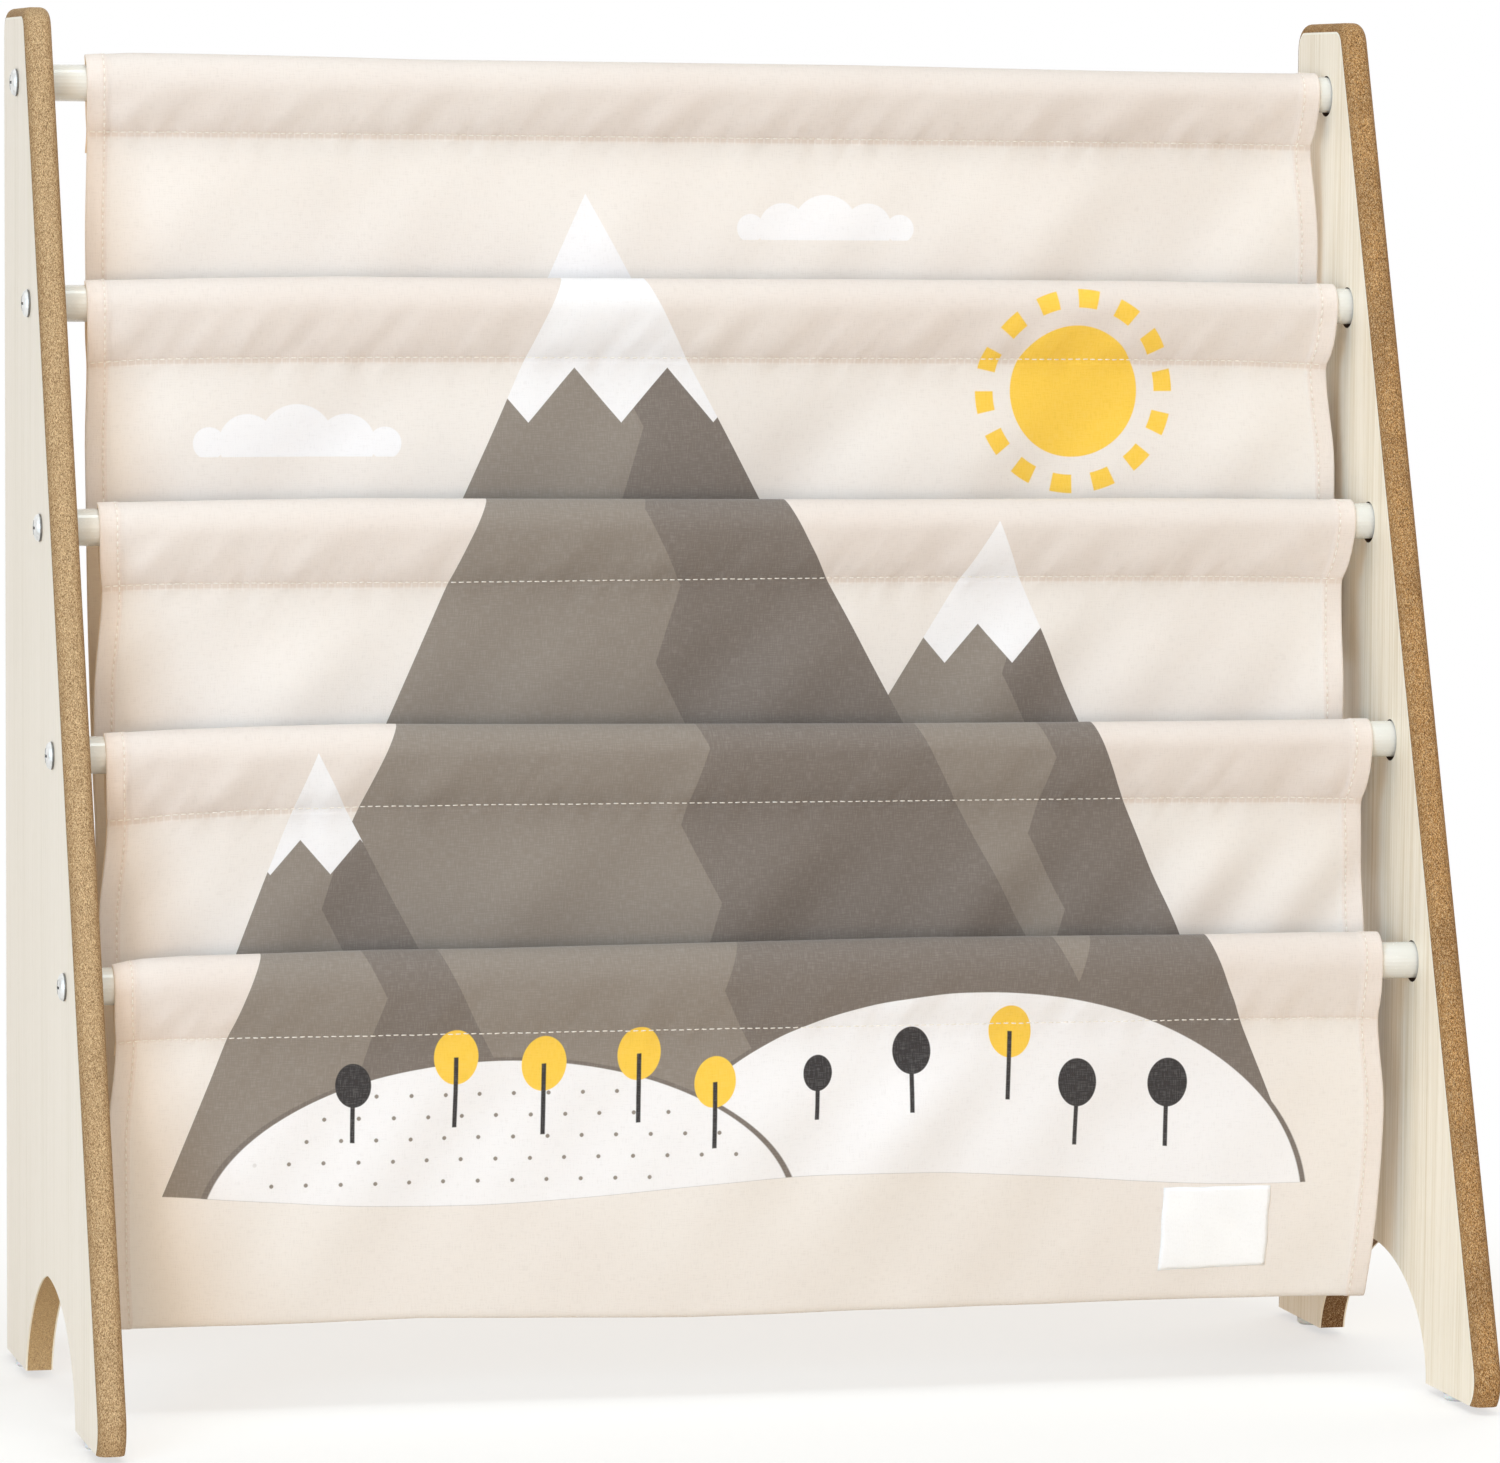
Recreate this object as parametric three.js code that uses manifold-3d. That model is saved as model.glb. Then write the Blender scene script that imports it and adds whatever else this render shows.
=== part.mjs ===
// Sling bookshelf for children. Two side panels of faced fibreboard are tied together by five
// screwed tubes, and one strip of canvas is folded over the tubes into four hanging pockets.
// Millimetres, +Z up, front towards -Y, left towards -X as seen from the front.
// The origin is the middle of the footprint, on the floor.

import * as THREE from 'three';
import { mergeVertices } from 'three/addons/utils/BufferGeometryUtils.js';
import Module from 'manifold-3d';

const wasm = await Module();
wasm.setup();

// Overall size: the width is taken over the panels, without the screw heads
const overallWidth = 610;
const overallDepth = 280;
const overallHeight = 600;
const fitGap = 0.3;
const cutOverrun = 2;

// Side panels
const panelThickness = 12;
const topDepth = 66;
const topCornerRadius = 12;
const toeRadius = 18;
const toeCentreHeight = 11;
const edgeRound = 4;
const backFootWidth = 64;
const frontFootWidth = 67;
const archHeight = 53;
const archApexShare = 0.47;
const archBackPower = 1.55;
const archFrontPower = 2;

// Tubes between the panels
const rodCount = 5;
const rodDiameter = 16;
const rodWall = 1.2;
const rodStepDown = 95;
const rodSetback = 31;
const topRodDrop = 32.4;
const socketDepth = 5;
const socketClearance = 1.2;

// Threaded plugs in the tube ends
const insertLength = 20;
const insertFlange = 1.5;

// Screws through the panels
const screwDiameter = 6;
const screwLength = 24;
const screwHeadDiameter = 12;
const screwHeadHeight = 3;
const screwHeadRim = 0.7;
const screwTip = 1;
const crossSpan = 6.4;
const crossWidth = 1.2;
const crossDepth = 1.7;

// Nail-on glides under the feet
const glideDiameter = 12;
const glideHeight = 3;
const glideEdge = 1;
const glideRecess = 1.3;
const nailDiameter = 1.8;
const nailLength = 14;
const nailPoint = 2;
const nailHeadDiameter = 4.4;
const nailHeadHeight = 0.7;

// Canvas sling
const slingSideGap = 10.5;
const clothThickness = 1.5;
const layerGap = 0.4;
const stitchDrop = 25;
const seamTail = 9;
const pocketDrop = 157;
const lowestPocketDrop = 147;
const foldRise = 18;
const pocketTaper = 1.5;
const seamDrawIn = 2.5;
const foldDrawIn = 4;
const slingDrift = 10;
const sleeveDriftShares = [0.73, 0.19, 0.2, -0.08, -0.42];
const foldDriftShares = [0.4, 0.2, 0.1, -0.04];
const stationShares = [-1, -0.7, -0.36, 0, 0.36, 0.7, 1];

// Blank label sewn on the lowest pocket
const labelWidth = 48;
const labelHeight = 37;
const labelThickness = 0.8;
const labelAboveFold = 10;
const labelFromEdge = 51.5;

// Facets of the round forms
const rodSides = 32;
const screwSides = 20;
const glideSides = 24;
const nailSides = 12;
const archSteps = 14;
const edgeSteps = 4;
const cornerSteps = 7;
const sleeveSteps = 6;
const foldSteps = 8;
const domeSteps = 3;
const labelSteps = 5;

// Sizes that follow from the ones above
const panelHeight = overallHeight - glideHeight - fitGap;
const panelFoot = glideHeight + fitGap;
const clearWidth = overallWidth - 2 * panelThickness;
const rodRadius = rodDiameter / 2;
const rodBoreRadius = rodRadius - rodWall;
const socketRadius = rodRadius + socketClearance;
const screwHoleRadius = screwDiameter / 2 + fitGap;
const nailHoleRadius = nailDiameter / 2 + fitGap;
const rodLength = clearWidth + 2 * (socketDepth - insertFlange - 2 * fitGap);
const slingWidth = clearWidth - 2 * slingSideGap;
const labelOffset = slingWidth / 2 - labelFromEdge - labelWidth / 2;
const archWidth = overallDepth - backFootWidth - frontFootWidth;
const toeCentre = new THREE.Vector2(overallDepth - toeRadius, toeCentreHeight);

// The front edge touches the toe's arc and would meet the top at topDepth
const toeToTop = new THREE.Vector2(topDepth, panelHeight).sub(toeCentre);
const frontLean = toeToTop.angle() - Math.acos(toeRadius / toeToTop.length());

const materials = {
  panel: new THREE.MeshStandardMaterial({ color: 0xe6e0d2, roughness: 0.55, metalness: 0 }),
  rod: new THREE.MeshStandardMaterial({ color: 0xf1f1ea, roughness: 0.35, metalness: 0 }),
  insert: new THREE.MeshStandardMaterial({ color: 0xd9d7cf, roughness: 0.5, metalness: 0 }),
  screw: new THREE.MeshStandardMaterial({ color: 0xc9c9c4, roughness: 0.3, metalness: 1 }),
  glide: new THREE.MeshStandardMaterial({ color: 0xe9ebee, roughness: 0.4, metalness: 0 }),
  nail: new THREE.MeshStandardMaterial({ color: 0xb9bcc0, roughness: 0.35, metalness: 1 }),
  canvas: new THREE.MeshStandardMaterial({ color: 0xeadfd6, roughness: 0.9, metalness: 0 }),
  label: new THREE.MeshStandardMaterial({ color: 0xf4f1ec, roughness: 0.85, metalness: 0 }),
};

// Solids: a closed geometry in, a cut closed geometry out
function solidOf(geometry) {
  const bare = geometry.clone();
  bare.deleteAttribute('normal');
  bare.deleteAttribute('uv');
  const merged = mergeVertices(bare);
  return new wasm.Manifold(new wasm.Mesh({
    numProp: 3,
    vertProperties: new Float32Array(merged.attributes.position.array),
    triVerts: new Uint32Array(merged.index.array),
  }));
}

function geometryOf(solid) {
  const mesh = solid.getMesh();
  const geometry = new THREE.BufferGeometry();
  geometry.setAttribute('position', new THREE.BufferAttribute(mesh.vertProperties, 3));
  geometry.setIndex(new THREE.BufferAttribute(mesh.triVerts, 1));
  geometry.computeVertexNormals();
  return geometry;
}

function cut(geometry, tools) {
  const whole = tools.reduce((solid, tool) => solid.subtract(solidOf(tool)), solidOf(geometry));
  return geometryOf(whole);
}

function turned(profile, sides) {
  const points = profile.map(([radius, along]) => new THREE.Vector2(radius, along));
  return new THREE.LatheGeometry(points, sides);
}

// Profile of the panel, drawn with x forward from the back edge and y up from the feet
function frontEdgeAt(height) {
  const rise = height - toeCentre.y;
  return toeCentre.x + (toeRadius - rise * Math.sin(frontLean)) / Math.cos(frontLean);
}

function panelOutline() {
  const topCentreHeight = panelHeight - topCornerRadius;
  const frontCentre = frontEdgeAt(topCentreHeight) - topCornerRadius / Math.cos(frontLean);
  const outline = new THREE.Shape();
  outline.moveTo(0, toeCentre.y - toeRadius);
  outline.lineTo(0, topCentreHeight);
  outline.absarc(topCornerRadius, topCentreHeight, topCornerRadius, Math.PI, Math.PI / 2, true);
  outline.absarc(frontCentre, topCentreHeight, topCornerRadius, Math.PI / 2, frontLean, true);
  outline.absarc(toeCentre.x, toeCentre.y, toeRadius, frontLean, -Math.PI / 2, true);
  outline.closePath();
  return outline;
}

// The arch is fuller towards the front foot: one quarter of a superellipse on each side of its apex
function archOutline() {
  const apex = backFootWidth + archWidth * archApexShare;
  const back = apex - backFootWidth;
  const front = archWidth - back;
  const quarter = (reach, power, side) => Array.from({ length: archSteps + 1 }, (_, i) => {
    const turn = (Math.PI / 2) * (i / archSteps);
    const across = reach * Math.cos(turn) ** (2 / power);
    const up = archHeight * Math.sin(turn) ** (2 / power);
    return new THREE.Vector2(apex + side * across, up);
  });
  const rising = quarter(back, archBackPower, -1);
  const falling = quarter(front, archFrontPower, 1).reverse().slice(1);
  const outline = new THREE.Shape([...rising, ...falling]);
  outline.lineTo(backFootWidth + archWidth, -cutOverrun);
  outline.lineTo(backFootWidth, -cutOverrun);
  outline.closePath();
  return outline;
}

// Rod axes, the top rod first: x forward from the back edge and y up from the feet
const rodAxes = Array.from({ length: rodCount }, (_, i) => {
  const height = panelHeight - topRodDrop - i * rodStepDown;
  return new THREE.Vector2(frontEdgeAt(height) - rodSetback / Math.cos(frontLean), height);
});

// The middle of each foot's flat, where its glide is nailed on
const feet = {
  back: backFootWidth / 2,
  front: overallDepth - (frontFootWidth + toeRadius) / 2,
};

// A cylinder square to the panel, from one depth to another
function bore(radius, axis, from, to, sides) {
  const tool = new THREE.CylinderGeometry(radius, radius, to - from, sides);
  tool.rotateX(Math.PI / 2);
  tool.translate(axis.x, axis.y, (from + to) / 2);
  return tool;
}

// Panel in its drawing plane, with the faced surfaces at depth 0 and panelThickness.
// innerDepth is the depth of the face that looks at the sling.
function panelGeometry(innerDepth) {
  const body = new THREE.ExtrudeGeometry(panelOutline(), {
    depth: panelThickness - 2 * edgeRound,
    bevelEnabled: true,
    bevelThickness: edgeRound,
    bevelSize: edgeRound,
    bevelOffset: -edgeRound,
    bevelSegments: edgeSteps,
    curveSegments: cornerSteps,
  });
  body.translate(0, 0, edgeRound);

  const arch = new THREE.ExtrudeGeometry(archOutline(), {
    depth: panelThickness + 2 * cutOverrun,
    bevelEnabled: false,
  });
  arch.translate(0, 0, -cutOverrun);

  const belowFloor = toeRadius + cutOverrun;
  const floor = new THREE.BoxGeometry(
    overallDepth + 2 * cutOverrun,
    belowFloor,
    panelThickness + 2 * cutOverrun,
  );
  floor.translate(overallDepth / 2, -belowFloor / 2, panelThickness / 2);

  const inward = innerDepth > 0 ? 1 : -1;
  const socketFloor = innerDepth - inward * socketDepth;
  const socketMouth = innerDepth + inward * cutOverrun;
  const tools = [arch, floor];
  for (const axis of rodAxes) {
    const [low, high] = [socketFloor, socketMouth].sort((a, b) => a - b);
    tools.push(bore(socketRadius, axis, low, high, rodSides));
    tools.push(bore(screwHoleRadius, axis, -cutOverrun, panelThickness + cutOverrun, screwSides));
  }
  for (const forward of Object.values(feet)) {
    const pilot = new THREE.CylinderGeometry(
      nailHoleRadius,
      nailHoleRadius,
      nailLength + cutOverrun,
      nailSides,
    );
    pilot.translate(forward, (nailLength - cutOverrun) / 2, panelThickness / 2);
    tools.push(pilot);
  }
  return cut(body, tools);
}

// The drawing plane's x runs forward, its y up and its depth to the left
const panelTurn = new THREE.Matrix4().makeBasis(
  new THREE.Vector3(0, -1, 0),
  new THREE.Vector3(0, 0, 1),
  new THREE.Vector3(-1, 0, 0),
);

function panel(name, innerDepth, rightFaceX) {
  const mesh = new THREE.Mesh(panelGeometry(innerDepth), materials.panel);
  mesh.name = name;
  mesh.quaternion.setFromRotationMatrix(panelTurn);
  mesh.position.set(rightFaceX, overallDepth / 2, panelFoot);
  return mesh;
}

// Places of the rod axes in the shelf's own frame
const rodPlaces = rodAxes.map((axis) => ({
  y: overallDepth / 2 - axis.x,
  z: panelFoot + axis.y,
}));

function rodGeometry() {
  const half = rodLength / 2;
  return turned([
    [rodBoreRadius, -half],
    [rodRadius, -half],
    [rodRadius, half],
    [rodBoreRadius, half],
    [rodBoreRadius, -half],
  ], rodSides);
}

// Plug with its flange at the outer end, which is at height 0, and its body pointing down
function insertGeometry() {
  const plugRadius = rodBoreRadius - fitGap;
  return turned([
    [screwHoleRadius, -insertLength],
    [plugRadius, -insertLength],
    [plugRadius, -insertFlange],
    [rodRadius, -insertFlange],
    [rodRadius, 0],
    [screwHoleRadius, 0],
    [screwHoleRadius, -insertLength],
  ], rodSides);
}

// Screw with the underside of its head at height 0 and its shank pointing down
function screwGeometry() {
  const shankRadius = screwDiameter / 2;
  const headRadius = screwHeadDiameter / 2;
  const dome = Array.from({ length: domeSteps + 1 }, (_, i) => {
    const turn = (Math.PI / 2) * (i / domeSteps);
    const height = screwHeadRim + (screwHeadHeight - screwHeadRim) * Math.sin(turn);
    return [i === domeSteps ? 0 : headRadius * Math.cos(turn), height];
  });
  const blank = turned([
    [0, -screwLength],
    [shankRadius - screwTip, -screwLength],
    [shankRadius, screwTip - screwLength],
    [shankRadius, 0],
    [headRadius, 0],
    ...dome,
  ], screwSides);

  const slotHeight = crossDepth + cutOverrun;
  const slots = [0, Math.PI / 2].map((turn) => {
    const slot = new THREE.BoxGeometry(crossSpan, slotHeight, crossWidth);
    slot.rotateY(turn);
    slot.translate(0, screwHeadHeight - crossDepth + slotHeight / 2, 0);
    return slot;
  });
  return cut(blank, slots);
}

// Glide standing on height 0, with the recess for the nail's head below
function glideGeometry() {
  const outer = glideDiameter / 2;
  const recessRadius = nailHeadDiameter / 2 + fitGap;
  return turned([
    [recessRadius, 0],
    [outer - glideEdge, 0],
    [outer, glideEdge],
    [outer, glideHeight],
    [nailHoleRadius, glideHeight],
    [nailHoleRadius, glideRecess],
    [recessRadius, glideRecess],
    [recessRadius, 0],
  ], glideSides);
}

// Nail pointing up, with its head's seat at height 0
function nailGeometry() {
  const shank = nailDiameter / 2;
  return turned([
    [0, -nailHeadHeight],
    [nailHeadDiameter / 2, -nailHeadHeight],
    [nailHeadDiameter / 2, 0],
    [shank, 0],
    [shank, nailLength - nailPoint],
    [0, nailLength],
  ], nailSides);
}

// The sling, followed as one line from behind the top rod to behind the lowest one.
// Each point holds its y and z, how far it has drifted sideways, and how far its edges are drawn in.
const layerOffset = (clothThickness + layerGap) / 2;
const sleeveArc = rodRadius + fitGap + clothThickness / 2;

function stitchPoint(rod, side, drop) {
  const { y, z } = rodPlaces[rod];
  const drift = slingDrift * sleeveDriftShares[rod];
  return { y: y + side * layerOffset, z: z - drop, drift, drawIn: seamDrawIn };
}

// Over the rod, from the back of the seam to its front
function sleevePoints(rod) {
  const { y, z } = rodPlaces[rod];
  const lean = Math.acos(sleeveArc / stitchDrop);
  const start = lean - Math.PI / 2;
  const step = (Math.PI - 2 * start) / sleeveSteps;
  const corner = sleeveArc / Math.cos(step / 2);
  const drift = slingDrift * sleeveDriftShares[rod];
  return Array.from({ length: sleeveSteps + 1 }, (_, i) => {
    const turn = start + i * step;
    return { y: y + corner * Math.cos(turn), z: z + corner * Math.sin(turn), drift, drawIn: 0 };
  });
}

function foldHeight(pocket) {
  const drop = pocket === rodCount - 2 ? lowestPocketDrop : pocketDrop;
  return rodPlaces[pocket + 1].z - drop;
}

// Half ellipse at the bottom of a pocket, from the back panel to the front panel
function foldAt(pocket, turn) {
  const backY = rodPlaces[pocket].y - layerOffset - pocketTaper;
  const frontLayer = pocket === rodCount - 2 ? -1 : 1;
  const frontY = rodPlaces[pocket + 1].y + frontLayer * (layerOffset + pocketTaper);
  const reach = (backY - frontY) / 2;
  return {
    y: (backY + frontY) / 2 + reach * Math.cos(turn),
    z: foldHeight(pocket) + foldRise * (1 - Math.sin(turn)),
    drift: slingDrift * foldDriftShares[pocket],
    drawIn: foldDrawIn * Math.sin(turn),
  };
}

function pocketPoints(pocket) {
  return Array.from({ length: foldSteps + 1 }, (_, i) => foldAt(pocket, Math.PI * (i / foldSteps)));
}

function slingPath() {
  const last = rodCount - 1;
  const path = [stitchPoint(0, 1, stitchDrop + seamTail)];
  for (let rod = 0; rod < last; rod += 1) {
    path.push(stitchPoint(rod, 1, stitchDrop), ...sleevePoints(rod));
    path.push(stitchPoint(rod, -1, stitchDrop), ...pocketPoints(rod));
  }
  const overFromFront = sleevePoints(last).reverse();
  path.push(stitchPoint(last, -1, stitchDrop), ...overFromFront);
  path.push(stitchPoint(last, 1, stitchDrop), stitchPoint(last, 1, stitchDrop + seamTail));
  return path;
}

// The line's normals, in the plane square to the rods
function normalsOf(path) {
  return path.map((point, i) => {
    const before = path[Math.max(i - 1, 0)];
    const after = path[Math.min(i + 1, path.length - 1)];
    const along = new THREE.Vector2(after.y - before.y, after.z - before.z).normalize();
    return new THREE.Vector2(-along.y, along.x);
  });
}

// A closed strip of cloth of even thickness: the path swept across, station by station
function stripGeometry(path, stations, thickness, place) {
  const normals = normalsOf(path);
  const positions = [];
  for (const face of [1, -1]) {
    path.forEach((point, i) => {
      const y = point.y + normals[i].x * face * thickness / 2;
      const z = point.z + normals[i].y * face * thickness / 2;
      for (const share of stations) positions.push(place(point, share), y, z);
    });
  }
  const rows = path.length;
  const columns = stations.length;
  const at = (face, row, column) => (face * rows + row) * columns + column;
  const index = [];
  const quad = (a, b, c, d) => index.push(a, b, c, a, c, d);
  for (let row = 0; row < rows - 1; row += 1) {
    for (let column = 0; column < columns - 1; column += 1) {
      quad(at(0, row, column), at(0, row, column + 1), at(0, row + 1, column + 1), at(0, row + 1, column));
      quad(at(1, row, column), at(1, row + 1, column), at(1, row + 1, column + 1), at(1, row, column + 1));
    }
    quad(at(0, row, 0), at(0, row + 1, 0), at(1, row + 1, 0), at(1, row, 0));
    quad(at(0, row + 1, columns - 1), at(0, row, columns - 1), at(1, row, columns - 1), at(1, row + 1, columns - 1));
  }
  for (let column = 0; column < columns - 1; column += 1) {
    quad(at(0, 0, column), at(1, 0, column), at(1, 0, column + 1), at(0, 0, column + 1));
    quad(at(0, rows - 1, column + 1), at(1, rows - 1, column + 1), at(1, rows - 1, column), at(0, rows - 1, column));
  }
  const geometry = new THREE.BufferGeometry();
  geometry.setAttribute('position', new THREE.Float32BufferAttribute(positions, 3));
  geometry.setIndex(index);
  geometry.computeVertexNormals();
  return geometry;
}

function slingGeometry() {
  const place = (point, share) => point.drift + share * (slingWidth / 2 - point.drawIn);
  return stripGeometry(slingPath(), stationShares, clothThickness, place);
}

// The label lies on the outside of the lowest pocket's front and follows its curve
function labelGeometry() {
  const pocket = rodCount - 2;
  const outward = (clothThickness + labelThickness) / 2 + fitGap;
  const path = Array.from({ length: labelSteps + 1 }, (_, i) => {
    const above = labelAboveFold + labelHeight * (i / labelSteps);
    const dip = Math.max(0, 1 - above / foldRise);
    return foldAt(pocket, Math.PI - Math.asin(dip));
  });
  path.forEach((point, i) => {
    point.z = foldHeight(pocket) + labelAboveFold + labelHeight * (i / labelSteps);
  });
  normalsOf(path).forEach((normal, i) => {
    path[i].y += normal.x * outward;
    path[i].z += normal.y * outward;
  });
  const place = (point, share) => labelOffset + share * labelWidth / 2;
  return stripGeometry(path, [-1, 1], labelThickness, place);
}

// Assembly
const bookshelf = new THREE.Group();

function add(name, geometry, material, parent = bookshelf) {
  const mesh = new THREE.Mesh(geometry, material);
  mesh.name = name;
  parent.add(mesh);
  return mesh;
}

bookshelf.add(panel('side_panel_left', 0, -clearWidth / 2));
bookshelf.add(panel('side_panel_right', panelThickness, overallWidth / 2));

const rodShape = rodGeometry();
const insertShape = insertGeometry();
const screwShape = screwGeometry();
const sides = { left: -1, right: 1 };

rodPlaces.forEach(({ y, z }, i) => {
  const number = i + 1;
  const station = new THREE.Group();
  station.position.set(0, y, z);
  bookshelf.add(station);

  const rod = add(`rod_${number}`, rodShape, materials.rod, station);
  rod.rotation.z = -Math.PI / 2;

  for (const [side, sign] of Object.entries(sides)) {
    const insert = add(`rod_insert_${number}_${side}`, insertShape, materials.insert, station);
    insert.rotation.z = -sign * Math.PI / 2;
    insert.position.x = sign * (clearWidth / 2 + socketDepth - fitGap);

    const screw = add(`screw_${number}_${side}`, screwShape, materials.screw, station);
    screw.rotation.z = -sign * Math.PI / 2;
    screw.position.x = sign * (overallWidth / 2 + fitGap);
  }
});

const glideShape = glideGeometry();
const nailShape = nailGeometry();

for (const [side, sign] of Object.entries(sides)) {
  for (const [foot, forward] of Object.entries(feet)) {
    const station = new THREE.Group();
    station.rotation.x = Math.PI / 2;
    station.position.set(
      sign * (overallWidth - panelThickness) / 2,
      overallDepth / 2 - forward,
      0,
    );
    bookshelf.add(station);
    add(`glide_${foot}_${side}`, glideShape, materials.glide, station);
    const nail = add(`glide_nail_${foot}_${side}`, nailShape, materials.nail, station);
    nail.position.y = glideRecess - fitGap;
  }
}

add('sling', slingGeometry(), materials.canvas);
add('sling_label', labelGeometry(), materials.label);

export default bookshelf;
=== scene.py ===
"""Looks of the sling bookshelf: faced fibreboard panels, white tubes, and a printed canvas sling.

Lengths are in metres in the shelf's own frame: x to the right, -y to the front, z up from the floor.
"""

import math

import bmesh
import bpy
import numpy as np
from mathutils import Matrix, Vector


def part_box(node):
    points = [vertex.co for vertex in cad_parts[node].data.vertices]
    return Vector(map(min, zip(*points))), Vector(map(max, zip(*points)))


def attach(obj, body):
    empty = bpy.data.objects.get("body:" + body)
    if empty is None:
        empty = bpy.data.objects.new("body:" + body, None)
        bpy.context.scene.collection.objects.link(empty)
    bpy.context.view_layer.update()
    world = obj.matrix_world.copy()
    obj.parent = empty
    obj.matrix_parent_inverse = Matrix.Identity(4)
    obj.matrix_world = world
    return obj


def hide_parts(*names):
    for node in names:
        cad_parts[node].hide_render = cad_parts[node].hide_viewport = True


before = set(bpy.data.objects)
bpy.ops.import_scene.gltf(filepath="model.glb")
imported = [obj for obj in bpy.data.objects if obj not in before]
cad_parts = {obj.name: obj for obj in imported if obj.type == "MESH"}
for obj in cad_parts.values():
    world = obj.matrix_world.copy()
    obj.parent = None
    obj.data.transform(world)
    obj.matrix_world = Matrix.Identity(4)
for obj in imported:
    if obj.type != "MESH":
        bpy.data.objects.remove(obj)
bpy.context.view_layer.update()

MM = 0.001
SAME_PLACE = 0.001 * MM
TURN = 2 * math.pi

# Side panels
PANEL_DEPTH = 280 * MM
PANEL_THICKNESS = 12 * MM
TOP_DEPTH = 66 * MM
TOP_CORNER_RADIUS = 12 * MM
TOE_RADIUS = 18 * MM
TOE_CENTRE_HEIGHT = 11 * MM
EDGE_ROUND = 4 * MM
FOIL_EDGE = 0.9 * MM
BACK_FOOT = 64 * MM
FRONT_FOOT = 67 * MM
ARCH_HEIGHT = 53 * MM
ARCH_APEX_SHARE = 0.47
ARCH_BACK_POWER = 1.55
ARCH_FRONT_POWER = 2
SOCKET_RADIUS = 9.2 * MM
SOCKET_DROP = 0.6 * MM
SOCKET_DEPTH = 5 * MM
SOCKET_FACETS = 40
ARCH_STEPS = 26
ROUND_STEPS = 7
BOARD_MIDDLE = 299 * MM
ARCH_ZONE_HEIGHT = 60 * MM
ARCH_ZONE_REACH = 90 * MM

# Sling
CLOTH = 0.9 * MM
HEM_EXTRA = 0.5 * MM
HEM_WIDTH = 9 * MM
SLING_HALF_WIDTH = 282.5 * MM
HEM_LINE = SLING_HALF_WIDTH - HEM_WIDTH + 1.4 * MM
ROD_RADIUS = 8 * MM
STITCH_DROP = 25 * MM
SEAM_TAIL = 9 * MM
LAYER_OFFSET = 0.56 * MM
POCKET_LEAN = 1.2 * MM
POCKET_DROPS = [157 * MM, 157 * MM, 157 * MM, 147 * MM]
FOLD_RISE = 5 * MM
FOLD_REACH = 3.2 * MM
ROD_GAP = 0.15 * MM
BACK_BOW = 0.5 * MM
HIDDEN_FROM = 12 * MM
FINE_ROW, HIDDEN_ROW, COARSE_ROW, TAIL_ROW = 4.2 * MM, 7 * MM, 9 * MM, 3 * MM
MIDDLE_COLUMNS, MIDDLE_INSET = 148, 14 * MM

# Depths of the folds in the hanging cloth, and how far under or beside a seam or a hem each reaches
SETTLING, LIFT_FADING = 45 * MM, 60 * MM
SEAM_GATHER, SEAM_REACH = 0.42 * MM, 6 * MM
BILLOW = 1.5 * MM
DRAG_FOLDS = [1.2 * MM, 1.4 * MM, 2.1 * MM, 2.4 * MM, 1.5 * MM]
DRAG_START, DRAG_FADING, DRAG_SIDES = 50 * MM, 110 * MM, 120 * MM
HEM_CURL, CURL_REACH = 0.4 * MM, 16 * MM

# The slack of the sleeves: heights over the tube's axis where it starts and is full, and its dents
SLACK, LEAST_SLACK = 0.95 * MM, 0.02 * MM
SLACK_TOP, SLACK_FULL, SLACK_END = 4 * MM, -16 * MM, 5 * MM
CROWN_START, CROWN_FULL = -3 * MM, 9 * MM
DENT, PUCKER = 0.6 * MM, 0.26 * MM
END_DRAW = 9 * MM
HEM_CREASE, CREASE_DEPTH, CREASE_WIDTH = 10.4 * MM, 0.75 * MM, 1.5 * MM
TUCK_START, TUCK_WIDTH = 11 * MM, 3.2 * MM
HOLLOW_OFFSET, HOLLOW_WIDTH = 6 * MM, 3.6 * MM

# Left and right ends of the cloth in millimetres: at each sleeve, at the seam under it, where it has
# settled below that seam, and at the fold of each pocket
SLEEVE_ENDS = [(-275.7, 287.6), (-281.0, 286.2), (-280.9, 284.7), (-283.5, 282.4), (-285.2, 276.8)]
SEAM_ENDS = [(-274.6, 285.9), (-279.7, 283.1), (-278.7, 280.7), (-281.7, 279.6), (-283.4, 277.4)]
PANEL_ENDS = [(-275.9, 290.0), (-280.7, 287.4), (-282.4, 281.0), (-285.5, 281.1), (-287.2, 281.7)]
FOLD_ENDS = [(-269.0, 286.0), (-277.0, 282.0), (-280.0, 279.0), (-283.5, 278.0)]

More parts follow.
